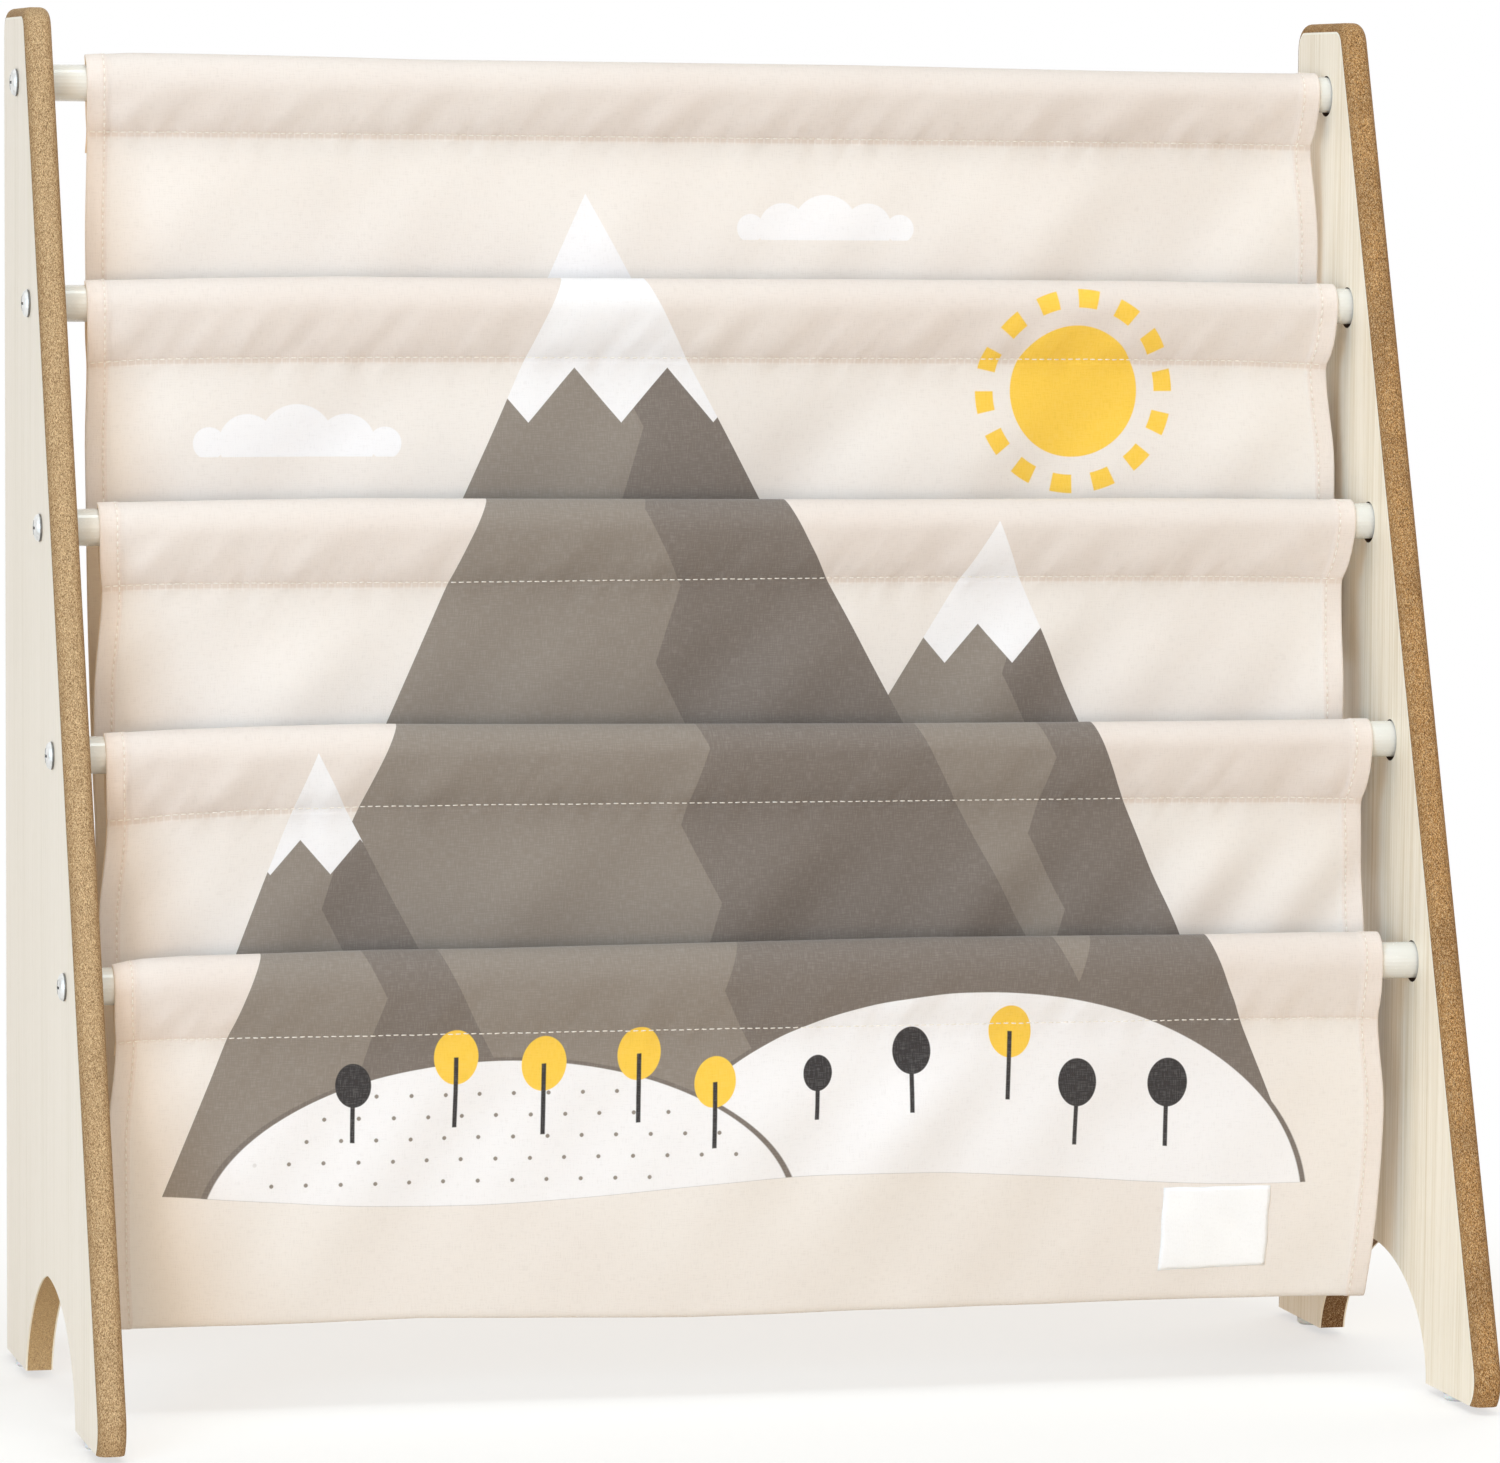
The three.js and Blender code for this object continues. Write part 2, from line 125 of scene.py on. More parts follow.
# How far each sleeve stands above its tube, how far each seam lies above its usual line and how far
# the folds sag, in millimetres at places from the left end to the right end
ALONG_SLEEVE = [-285, -272, -255, -220, -170, -125, 70, 190, 245, 285]
CROWNS = [
    [2.4, 3.6, 4.5, 4.3, 3.7, 2.9, 2.4, 1.0, 0.7, 0.7],
    [0.8, 1.2, 1.6, 2.4, 3.2, 2.8, 2.6, 2.3, 1.6, 0.9],
    [1.4, 1.9, 2.2, 2.7, 3.3, 2.9, 1.7, 1.8, 1.2, 0.6],
    [0.1, 0.8, 1.6, 2.5, 3.2, 2.5, 0.6, 0.1, 0.1, 0.1],
    [0.1, 2.6, 3.4, 3.8, 4.5, 4.2, 5.4, 4.3, 4.3, 3.6],
]
SEAM_LIFTS = [
    [3.2, 3.7, 3.7, 3.7, 3.6, 3.5, 2.9, 2.4, 2.2, 1.5],
    [-1.6, -0.6, 0.4, 1.1, 1.4, 1.5, 1.1, 0.6, -0.1, -1.8],
    [-1.6, -0.5, 0.1, 0.2, 0.1, 0.0, 0.9, 0.6, -0.1, -1.4],
    [-3.8, -3.2, -1.6, 0.2, 1.0, 1.1, 0.1, -0.3, -0.9, -2.2],
    [1.6, 2.8, 2.9, 2.8, 2.6, 2.5, 2.0, 1.6, 1.2, 0.2],
]
ALONG_FOLD = [-285, -190, -150, -30, 40, 130, 170, 285]
SAG = [-2.0, -2.2, -1.5, -4.4, -3.9, -4.1, -3.7, -4.3]

# Size of the slanting tuck at each end of each sleeve, and how far the print on each stretch of the
# strip sits off to the side, all in millimetres
LEFT_TUCKS = [0.5, 0.7, 0.6, 1.2, 0.7]
RIGHT_TUCKS = [1.1, 0.9, 1.2, 1.0, 0.6]
PRINT_SHIFTS = [0.0, 1.6, -1.2, 1.9, -1.4]

STITCH_PITCH = 3.4 * MM
STITCH_LENGTH = 2.7 * MM
THREAD_RADIUS = 0.26 * MM
THREAD_FACETS = 5
SEAM_END_GAP = 1 * MM

# Blank label
LABEL_LEFT, LABEL_RIGHT = 182 * MM, 231 * MM
LABEL_BOTTOM, LABEL_TOP = 51 * MM, 88 * MM
LABEL_THICKNESS = 0.55 * MM
LABEL_COLUMNS, LABEL_LINES = 26, 20
LABEL_TILT, LABEL_SHEAR = 0.03, 0.6 * MM
LABEL_RIPPLE, LABEL_WAVER, LABEL_SWELL = 0.25 * MM, 0.2 * MM, 0.14 * MM
LABEL_SEAT = 0.03 * MM


def srgb(red, green, blue):
    """A colour given as it shows on a screen, as the linear colour that a shader takes."""
    def linear(level):
        share = level / 255
        return share / 12.92 if share <= 0.04045 else ((share + 0.055) / 1.055) ** 2.4
    return (linear(red), linear(green), linear(blue), 1)


# Materials

def maths(operation, swapped=False):
    """A method that adds a Math node on a value and on whatever else it takes."""
    def method(value, *others):
        terms = [*others, value] if swapped else [value, *others]
        return value.nodes.node("ShaderNodeMath", terms, operation=operation)
    return method


class Value:
    """A socket in a material or the world. Arithmetic on it adds Math nodes."""

    def __init__(self, nodes, socket):
        self.nodes = nodes
        self.socket = socket

    __add__ = __radd__ = maths("ADD")
    __mul__ = __rmul__ = maths("MULTIPLY")
    __sub__ = maths("SUBTRACT")
    __rsub__ = maths("SUBTRACT", swapped=True)
    __truediv__ = maths("DIVIDE")
    __rtruediv__ = maths("DIVIDE", swapped=True)
    least = maths("MINIMUM")
    most = maths("MAXIMUM")
    size = maths("ABSOLUTE")
    root = maths("SQRT")
    sine = maths("SINE")
    turn_from = maths("ARCTAN2")
    whole = maths("FLOOR")
    part = maths("FRACT")
    zigzag = maths("PINGPONG")

    def step(self, low, high):
        """0 below low and 1 above high, with a smooth rise between."""
        return self.nodes.node(
            "ShaderNodeMapRange",
            {"Value": self, "From Min": low, "From Max": high},
            interpolation_type="SMOOTHSTEP",
        )


class Nodes:
    """The nodes of a material or of the world."""

    def __init__(self, owner):
        owner.use_nodes = True
        self.tree = owner.node_tree

    def node(self, kind, inputs=(), output=0, stops=None, **settings):
        made = self.tree.nodes.new(kind)
        for name, value in settings.items():
            setattr(made, name, value)
        if stops:
            ramp = made.color_ramp
            for place, colour in stops[1:-1]:
                ramp.elements.new(place)
            for element, (place, colour) in zip(ramp.elements, stops):
                element.position = place
                element.color = colour
        for key, value in inputs.items() if isinstance(inputs, dict) else enumerate(inputs):
            if isinstance(value, Value):
                self.tree.links.new(value.socket, made.inputs[key])
            else:
                made.inputs[key].default_value = value
        return Value(self, made.outputs[output])

    def feed(self, value, shader, socket):
        self.tree.links.new(value.socket, shader.inputs[socket])

    def mixed(self, share, first, second):
        """A colour between two colours."""
        return self.node("ShaderNodeMix", {0: share, 6: first, 7: second}, output=2, data_type="RGBA")

    def seen_directly(self):
        """1 where the camera looks straight, in a reflection or through something clear."""
        straight, mirrored, through = (
            self.node("ShaderNodeLightPath", output=kind)
            for kind in ("Is Camera Ray", "Is Glossy Ray", "Is Transmission Ray")
        )
        return straight.most(mirrored).most(through)


class Finish(Nodes):
    """A Principled material under construction."""

    def __init__(self, name, slot, roughness, **fixed):
        self.material = bpy.data.materials.new(name)
        self.material["slot"] = slot
        super().__init__(self.material)
        self.shader = self.tree.nodes["Principled BSDF"]
        self.shader.inputs["Roughness"].default_value = roughness
        for setting, value in fixed.items():
            socket = setting.replace("_", " ").title().replace("Ior", "IOR")
            self.shader.inputs[socket].default_value = value

    def place(self):
        """Position in the shelf's frame."""
        return self.node("ShaderNodeTexCoord", output="Object")

    def laid(self, name):
        """One of the cloth's own layouts, in metres."""
        return self.node("ShaderNodeUVMap", uv_map=name)

    def axes(self, vector):
        split = self.node("ShaderNodeSeparateXYZ", [vector])
        outputs = split.socket.node.outputs
        return [Value(self, outputs[i]) for i in range(3)]

    def joined(self, x, y, z=0.0):
        return self.node("ShaderNodeCombineXYZ", [x, y, z])

    def noise(self, vector, scale, detail=2.0, roughness=0.5, distortion=0.0):
        settings = {"Scale": scale, "Detail": detail, "Roughness": roughness, "Distortion": distortion}
        return self.node("ShaderNodeTexNoise", {"Vector": vector, **settings})

    def grain(self, vector, scales, *settings):
        """Noise with a scale of its own on each axis."""
        drawn_out = self.node("ShaderNodeVectorMath", [vector, scales], operation="MULTIPLY")
        return self.noise(drawn_out, 1.0, *settings)

    def ramp(self, value, *stops):
        return self.node("ShaderNodeValToRGB", [value], stops=stops)

    def finished(self, colour, height=None, distance=0.1 * MM, strength=1.0, roughness=None):
        self.feed(colour, self.shader, "Base Color")
        if roughness is not None:
            self.feed(roughness, self.shader, "Roughness")
        if height is not None:
            bump = self.node(
                "ShaderNodeBump",
                {"Height": height, "Distance": distance, "Strength": strength},
            )
            self.feed(bump, self.shader, "Normal")
        return self.material

    def shared(self, share, other):
        """Gives a share of the surface to another shader."""
        own = Value(self, self.shader.outputs["BSDF"])
        blended = self.node("ShaderNodeMixShader", [share, own, other])
        self.feed(blended, self.tree.nodes["Material Output"], "Surface")


def faced_board(name, light, dark):
    """Pale wood-grain foil: fine upright lines and pores, gathered here and there into a figure."""
    f = Finish(name, "panel", 0.46, coat_weight=0.08, coat_roughness=0.35)
    place = f.place()
    x, y, z = f.axes(place)
    wander = f.grain(place, (1, 9, 4), 1.0) * 0.006
    grown = f.joined(x, y + wander, z)
    fine = f.grain(grown, (1, 1500, 14), 2.0, 0.6)
    lines = f.grain(grown, (1, 420, 5), 2.0, 0.6)
    figure = f.grain(grown, (1, 60, 2), 1.0)
    pores = f.grain(place, (1, 2600, 110), 1.0).step(0.6, 0.78)
    streak = (fine * 0.5 + lines * 0.5).step(0.38, 0.68) * (figure.step(0.3, 0.65) * 0.6 + 0.4)
    colour = f.mixed(streak, light, dark)
    colour = f.mixed(pores * 0.3, colour, srgb(196, 184, 158))
    return f.finished(colour, streak * -0.6 - pores * 0.5, 0.05 * MM, 0.5, streak * 0.1 + 0.42)


def bare_fibreboard(name, dark, middle, light, arch, fleck_share, cloud_share):
    """Routed fibreboard edge: felted fibres with dark flecks, darker on its rounds partly from the cutter's
    scorch and partly as painted shade.
    """
    f = Finish(name, "panel", 0.8, specular_ior_level=0.25)
    place = f.place()
    x, y, z = f.axes(place)
    felt = f.grain(place, (2200, 2200, 1000), 2.0, 0.85)
    flecks = f.grain(place, (2100, 2100, 720), 1.0, 0.6, 1.8).step(0.51, 0.63)
    pale = f.grain(place, (2400, 2400, 960), 1.0, 0.5, 1.6).step(0.54, 0.65)
    cloud = f.grain(place, (60, 60, 24), 2.0)
    off_middle = (x.size() - BOARD_MIDDLE).size()
    rounds = off_middle.step(1.5 * MM, 6.2 * MM)
    base = f.ramp(felt, (0.34, dark), (0.5, middle), (0.66, light))
    toned = f.mixed(cloud.step(0.45, 0.7) * cloud_share, base, dark)
    # partly painted shade: darker brown towards both faces on the rounds, besides the cutter's scorch
    scorched_and_shaded = f.mixed(rounds * 0.4, toned, srgb(132, 94, 54))
    # painted light and shade in the arch: its cut face takes a tone of its own, dark as painted shade on
    # the right board and light as painted light on the left
    painted_arch_zone = (ARCH_ZONE_HEIGHT - z).step(0, 1 * MM) * (ARCH_ZONE_REACH - y.size()).step(0, 1 * MM)
    scorched_and_shaded = f.mixed(painted_arch_zone * 0.7, scorched_and_shaded, arch)
    darkened = f.mixed(flecks * fleck_share, scorched_and_shaded, srgb(92, 58, 28))
    colour = f.mixed(pale * 0.55, darkened, srgb(230, 204, 162))
    # a pale foil line along the arch's square edge, partly a painted highlight where the edge catches light
    foil = off_middle.step(5.2 * MM, 5.4 * MM)
    colour = f.mixed(foil * painted_arch_zone, colour, srgb(248, 240, 222))
    return f.finished(colour, felt - flecks * 0.6, 0.1 * MM, 0.6)


def bore_painted_shade():
    """Inside of a drilled socket, made dark partly as scorch from the bit and partly as painted shade in
    the deep recess.
    """
    f = Finish("bore_painted_shade", "panel", 0.85)
    scorch = f.noise(f.place(), 900.0, 2.0)
    # painted shade: the socket's walls and floor are set near-black brown, for the shade inside the recess
    # as well as scorch
    return f.finished(f.mixed(scorch, srgb(44, 28, 16), srgb(70, 47, 28)), scorch, 0.1 * MM, 0.4)


def foil_edge():
    """The pale cut edge of the foil, where the round of the board begins, whitened further as a painted
    highlight along its thin round.
    """
    f = Finish("foil_edge", "panel", 0.5)
    wear = f.noise(f.place(), 420.0, 2.0)
    # partly painted highlight: the near-white colour also stands in for light caught on the edge's thin
    # round
    colour = f.mixed(wear.step(0.5, 0.8) * 0.3, srgb(255, 251, 240), srgb(226, 206, 174))
    return f.finished(colour, wear, 0.05 * MM, 0.4)


def white_enamel():
    f = Finish("white_enamel", "rod", 0.3, coat_weight=0.35, coat_roughness=0.12)
    place = f.place()
    peel = f.noise(place, 700.0, 2.0)
    tone = f.grain(place, (12, 60, 60), 2.0)
    colour = f.mixed(tone, srgb(227, 226, 222), srgb(217, 216, 211))
    return f.finished(colour, peel, 0.05 * MM, 0.3, peel * 0.08 + 0.22)


def moulded_plug():
    f = Finish("moulded_plug", "plug", 0.5)
    grain = f.noise(f.place(), 900.0, 2.0)
    colour = f.mixed(grain, srgb(222, 220, 212), srgb(208, 205, 196))
    return f.finished(colour, grain, 0.03 * MM, 0.4)


def zinc_plate(name, slot, light, dark, polish):
    """Plated steel, with painted shade darkening the upright walls of a head and of its recess."""
    f = Finish(name, slot, polish, metallic=1.0)
    place = f.place()
    facing, _, _ = f.axes(f.node("ShaderNodeTexCoord", output="Normal"))
    walls = facing.size().step(0.5, 0.2)
    tarnish = f.noise(place, 260.0, 3.0, 0.6)
    brushed = f.grain(place, (200, 2400, 2400), 2.0)
    colour = f.mixed(tarnish.step(0.35, 0.75), light, dark)
    # painted shade: the upright walls of a head and of its cross recess are set dark grey, where shade
    # falls
    colour = f.mixed(walls * 0.8, colour, srgb(70, 68, 66))
    return f.finished(colour, brushed, 0.02 * MM, 0.35, tarnish * 0.22 + polish)


def milky_plastic():
    f = Finish("milky_plastic", "glide", 0.38, subsurface_weight=0.25, subsurface_scale=0.002)
    scuff = f.noise(f.place(), 520.0, 3.0, 0.6)
    colour = f.mixed(scuff.step(0.5, 0.75) * 0.5, srgb(226, 230, 234), srgb(188, 192, 196))
    return f.finished(colour, scuff, 0.04 * MM, 0.4)


# The print on the sling: snowy hills with round trees, and mountains behind them under a sun.
# Each motif is a mask over the picture's x and height, both in metres.

INK_SOFTNESS = 0.25 * MM
GREY = srgb(138, 128, 119)
DEEP_GREY = srgb(118, 108, 101)
WHITE = srgb(250, 249, 253)
YELLOW = srgb(254, 208, 68)
BLACK = srgb(40, 36, 38)


def inside(value, limit):
    """1 where a value lies under a limit, with an edge as sharp as ink on cloth."""
    return (value - limit).step(INK_SOFTNESS, -INK_SOFTNESS)


def far_from(x, z, centre_x, centre_z, stretch=1.0):
    """Distance from a centre, measured shorter along x where a shape is stretched."""
    across = (x - centre_x) / stretch
    up = z - centre_z
    return (across * across + up * up).root()


# Apex, the slopes on its left and right, the depth of its snow cap, the width of a tooth of it
MOUNTAINS = [
    (0.118, 0.379, 1.60, 2.30, 0.046, 0.015),
    (-0.052, 0.521, 2.20, 1.80, 0.076, 0.021),
    (-0.190, 0.283, 2.50, 1.90, 0.038, 0.013),
]
# Centre, half width and height of each snowy hill
SPECKLED_HILL = (-0.118, 0.080, 0.130, 0.072)
HILLS = [(0.092, 0.078, 0.152, 0.100), SPECKLED_HILL]
# Centre and size of each cloud
CLOUDS = [(-0.186, 0.412, 0.017), (0.058, 0.506, 0.015)]
# Centre and size of the sun, how many rays it has, and where they start and end in sizes of it
SUN = (0.166, 0.4345, 0.0295)
SUN_RAYS = 14
RAY_START, RAY_END = 1.27, 1.55
HILL_RIM = 0.0016
SPECK_ROW, SPECK_STEP, SPECK_SIZE = 0.0095, 0.0150, 0.0009
SPECK_MARGIN = 0.006
TREE_SPACING = 0.041
TREES_EACH_WAY = 5
TRUNK_HALF = 0.0010


def landscape(f, colour, x, z):
    """Prints the picture on a base colour."""
    ground = (x * 17 + 0.8).sine() * 0.005 + 0.094
    above_ground = inside(ground, z)

    sun_x, sun_z, sun_radius = SUN
    sun = far_from(x, z, sun_x, sun_z)
    turn = (z - sun_z).turn_from(x - sun_x)
    ring = inside(sun, sun_radius * RAY_END) * inside(sun_radius * RAY_START, sun)
    rays = (turn * SUN_RAYS).sine().step(-0.1, 0.1) * ring
    colour = f.mixed(inside(sun, sun_radius).most(rays), colour, YELLOW)

    for apex_x, apex_z, left_slope, right_slope, cap, tooth in MOUNTAINS:
        left = (x - apex_x) * left_slope + apex_z
        right = (apex_x - x) * right_slope + apex_z
        body = inside(z, left.least(right)) * above_ground
        ridge = (apex_z - z).zigzag(0.034) * 0.42 + (apex_z - z) * 0.1 + apex_x - 0.004
        rock = f.mixed(inside(ridge, x), GREY, DEEP_GREY)
        teeth = (x - apex_x + tooth * 0.5).zigzag(tooth) * 1.15
        snow = inside(apex_z - cap - teeth, z)
        colour = f.mixed(body, colour, f.mixed(snow, rock, WHITE))

    for cloud_x, cloud_z, puff in CLOUDS:
        beside = (x - cloud_x).size()
        edge = (far_from(x, z, cloud_x, cloud_z) - puff).least(
            far_from(beside, z, 1.3 * puff, cloud_z) - puff * 0.75
        ).least(far_from(beside, z, 2.3 * puff, cloud_z) - puff * 0.42)
        colour = f.mixed(inside(edge, 0.0) * inside(cloud_z - puff * 0.35, z), colour, WHITE)

    for hill_x, hill_z, half_width, height in HILLS:
        outline = far_from(x, z, hill_x, hill_z, half_width / height)
        rim = inside(outline, height + HILL_RIM) * above_ground
        colour = f.mixed(inside(outline, height) * above_ground, f.mixed(rim, colour, DEEP_GREY), WHITE)

    hill_x, hill_z, half_width, height = SPECKLED_HILL
    row = (z / SPECK_ROW).whole()
    along = ((x / SPECK_STEP + row * 0.5).part() - 0.5) * SPECK_STEP
    up = ((z / SPECK_ROW).part() - 0.5) * SPECK_ROW
    powder = inside(far_from(x - along, z - up, hill_x, hill_z, half_width / height), height - SPECK_MARGIN)
    powder = powder * inside(ground + SPECK_MARGIN, z - up)
    colour = f.mixed(inside((along * along + up * up).root(), SPECK_SIZE) * powder, colour, GREY)

    place = x / TREE_SPACING
    tree = place.whole()
    width, rise = (
        f.node("ShaderNodeTexWhiteNoise", {"W": tree + shift}, noise_dimensions="1D")
        for shift in (3.5, 9.5)
    )
    beside_trunk = (place.part() - 0.5 - (rise - 0.5) * 0.3) * TREE_SPACING
    crown = width * 0.0045 + 0.0075
    foot = ground + rise * 0.024 + 0.012
    middle = foot + crown * 2.6
    trunk = inside(beside_trunk.size(), TRUNK_HALF) * inside(z, middle) * inside(foot, z)
    leaves = inside(far_from(beside_trunk, z, 0.0, middle, 0.82), crown)
    planted = inside((x + 0.003).size(), TREES_EACH_WAY * TREE_SPACING)
    bright = inside(0.8, width)
    colour = f.mixed(leaves * planted, colour, f.mixed(bright, BLACK, YELLOW))
    return f.mixed(trunk * planted, colour, BLACK)


# Painted shade in the grooves and holes of the stitching
STITCH_PAINTED_SHADE = srgb(206, 178, 156)


def close_to(distance, reach):
    """1 at no distance, a half at the reach, and less beyond it."""
    return 1 / (distance * distance * (1 / reach ** 2) + 1)


def canvas(name, single_layer_painted_light, doubled_painted_shade, hem_painted_shade, printed):
    """Plain-woven canvas.

    Its layouts are the flat cloth (along the strip, across it) and the seams (distance below the
    nearest seam, distance from the hem's stitching), all in metres. Heights are in millimetres.
    """
    f = Finish(name, "canvas", 0.88, sheen_weight=0.15, sheen_roughness=0.5)
    along, across, _ = f.axes(f.laid("cloth"))
    picture_x, picture_z, _ = f.axes(f.laid("picture"))
    below_seam, beside_hem, _ = f.axes(f.laid("seams"))
    laid = f.joined(across, along)

    warp = (across * (TURN / (0.62 * MM))).sine()
    weft = (along * (TURN / (0.66 * MM))).sine()
    slub = f.grain(laid, (2300, 210, 1), 1.0)
    slub_down = f.grain(laid, (210, 2300, 1), 1.0)
    threads = slub + slub_down

    from_seam = below_seam.most(0.0) * (1 / (6 * MM)) - below_seam.least(0.0) * (1 / (12 * MM))
    close = close_to(from_seam, 1)
    gathers = f.noise(f.joined(across * 80 + below_seam * 50, below_seam * 14), 1.0, 1.0)
    groove = close_to(below_seam, 0.8 * MM)
    hem_close = close_to(beside_hem, 2.2 * MM)
    hem_gathers = f.noise(f.joined(along * 150 + across * 60, beside_hem * 60), 1.0, 0.0)
    crumple = f.noise(f.joined(across * 13 + along * 6, along * 15), 1.0, 2.0)

    tone = f.noise(laid, 9.0, 1.0)
    # painted light and shade: below the seam the cloth hangs in one layer and is set lighter, standing in
    # for light coming through it; the sleeve above, in two layers, is set darker
    below = below_seam.step(-0.5 * MM, 0.5 * MM)
    cloth = f.mixed(below * 0.75 + tone.step(0.3, 0.7) * 0.25, doubled_painted_shade, single_layer_painted_light)
    hem = (beside_hem + 1.6 * MM).step(-0.3 * MM, 0.3 * MM)
    # painted shade: the hem in two layers is set darker, as less light comes through it and the side boards
    # shade it
    cloth = f.mixed(hem * 0.7, cloth, hem_painted_shade)
    hem_groove = close_to(beside_hem, 0.5 * MM)
    needled_hem, needled_seam = (
        (length * (1 / STITCH_PITCH)).part().step(0.1, 0.3) for length in (along, across)
    )
    # painted shade along the hem's stitching and in the seams' grooves
    cloth = f.mixed(hem_groove * (needled_hem * hem_gathers * 0.45 + 0.1), cloth, STITCH_PAINTED_SHADE)
    cloth = f.mixed(groove * (needled_seam * 0.22 + 0.1), cloth, STITCH_PAINTED_SHADE)
    if printed:
        cloth = landscape(f, cloth, picture_x, picture_z)
    cloth = f.mixed(threads.step(0.85, 1.35) * 0.06, cloth, srgb(255, 252, 248))
    cloth = f.mixed((1 - threads.step(0.66, 1.0)) * 0.08, cloth, srgb(132, 116, 104))
    weave = warp * weft * 0.035 + threads * 0.06
    gathered = gathers * close * 2.1 - groove * 0.28 + hem_gathers * hem_close * 0.5 - hem_groove * 0.3
    light_through = f.node("ShaderNodeBsdfTranslucent", {"Color": srgb(255, 244, 230)})
    f.shared(f.node("ShaderNodeRGBToBW", [cloth]) * (0.14 - hem * 0.09), light_through)
    return f.finished(cloth, weave + gathered + crumple * 1.6, MM, 0.8)


def cotton_thread():
    f = Finish("cotton_thread", "canvas", 0.7, sheen_weight=0.2)
    twist = f.noise(f.place(), 900.0, 1.0)
    colour = f.mixed(twist, srgb(250, 246, 240), srgb(232, 224, 214))
    return f.finished(colour, twist, 0.05 * MM, 0.6)


def woven_tape():
    f = Finish("woven_tape", "label", 0.72, sheen_weight=0.3)
    x, y, z = f.axes(f.place())
    ribs = (z * (TURN / (0.55 * MM))).sine()
    cross = (x * (TURN / (0.8 * MM))).sine()
    twill = f.noise(f.joined(x * 900, z * 900), 1.0, 2.0)
    mottle = f.noise(f.place(), 60.0, 2.0)
    colour = f.mixed(mottle, srgb(250, 251, 255), srgb(241, 242, 247))
    colour = f.mixed(twill.step(0.5, 0.8) * 0.12, colour, srgb(200, 196, 196))
    return f.finished(colour, ribs * 0.6 + cross * 0.3 + twill, 0.08 * MM, 0.5)


# Meshes

def mesh_of(name, vertices, faces):
    """A smooth mesh."""
    mesh = bpy.data.meshes.new(name)
    mesh.from_pydata([tuple(v) for v in vertices], [], faces)
    mesh.polygons.foreach_set("use_smooth", [True] * len(faces))
    return mesh


def shell(name, first, other):
    """A closed mesh between two grids of points, which are its two faces."""
    count, width = first.shape[:2]
    faces = []

    def quad(*corners):
        faces.append([(side * count + i) * width + j for side, i, j in corners])

    end = width - 1
    for i in range(count - 1):
        k = i + 1
        for j in range(end):
            quad((0, i, j), (0, k, j), (0, k, j + 1), (0, i, j + 1))
            quad((1, i, j), (1, i, j + 1), (1, k, j + 1), (1, k, j))
        quad((0, i, 0), (1, i, 0), (1, k, 0), (0, k, 0))
        quad((0, i, end), (0, k, end), (1, k, end), (1, i, end))
    end = count - 1
    for j in range(width - 1):
        quad((0, 0, j), (0, 0, j + 1), (1, 0, j + 1), (1, 0, j))
        quad((0, end, j), (1, end, j), (1, end, j + 1), (0, end, j + 1))
    return mesh_of(name, np.concatenate([first, other]).reshape(-1, 3), faces)


def placed(name, content):
    """An object in the scene that shows a mesh, a lamp or a camera."""
    made = bpy.data.objects.new(name, content)
    bpy.context.scene.collection.objects.link(made)
    return made


def piece(name, mesh, materials, stands_for=()):
    """A finished piece on the shelf, whose first material carries a slot."""
    made = placed(name, mesh)
    for material in materials:
        mesh.materials.append(material)
    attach(made, "root")
    if stands_for:
        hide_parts(*stands_for)
    return made


def rod_axes():
    """Depth and height of each tube's axis, from the top one down."""
    axes = []
    for number in range(1, 6):
        low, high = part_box(f"rod_{number}")
        axes.append(((low[1] + high[1]) / 2, (low[2] + high[2]) / 2))
    return axes


RODS = rod_axes()
LAST = len(RODS) - 1


# Side panels

PANEL_LOW, PANEL_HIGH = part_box("side_panel_left")
FOOT_HEIGHT = PANEL_LOW[2]
PANEL_HEIGHT = PANEL_HIGH[2] - FOOT_HEIGHT
BACK = PANEL_HIGH[1]


def front_lean():
    """Angle of the square to the front edge, which touches the round of the toe."""
    run = TOP_DEPTH - (PANEL_DEPTH - TOE_RADIUS)
    rise = PANEL_HEIGHT - TOE_CENTRE_HEIGHT
    return math.atan2(rise, run) - math.acos(TOE_RADIUS / math.hypot(run, rise))


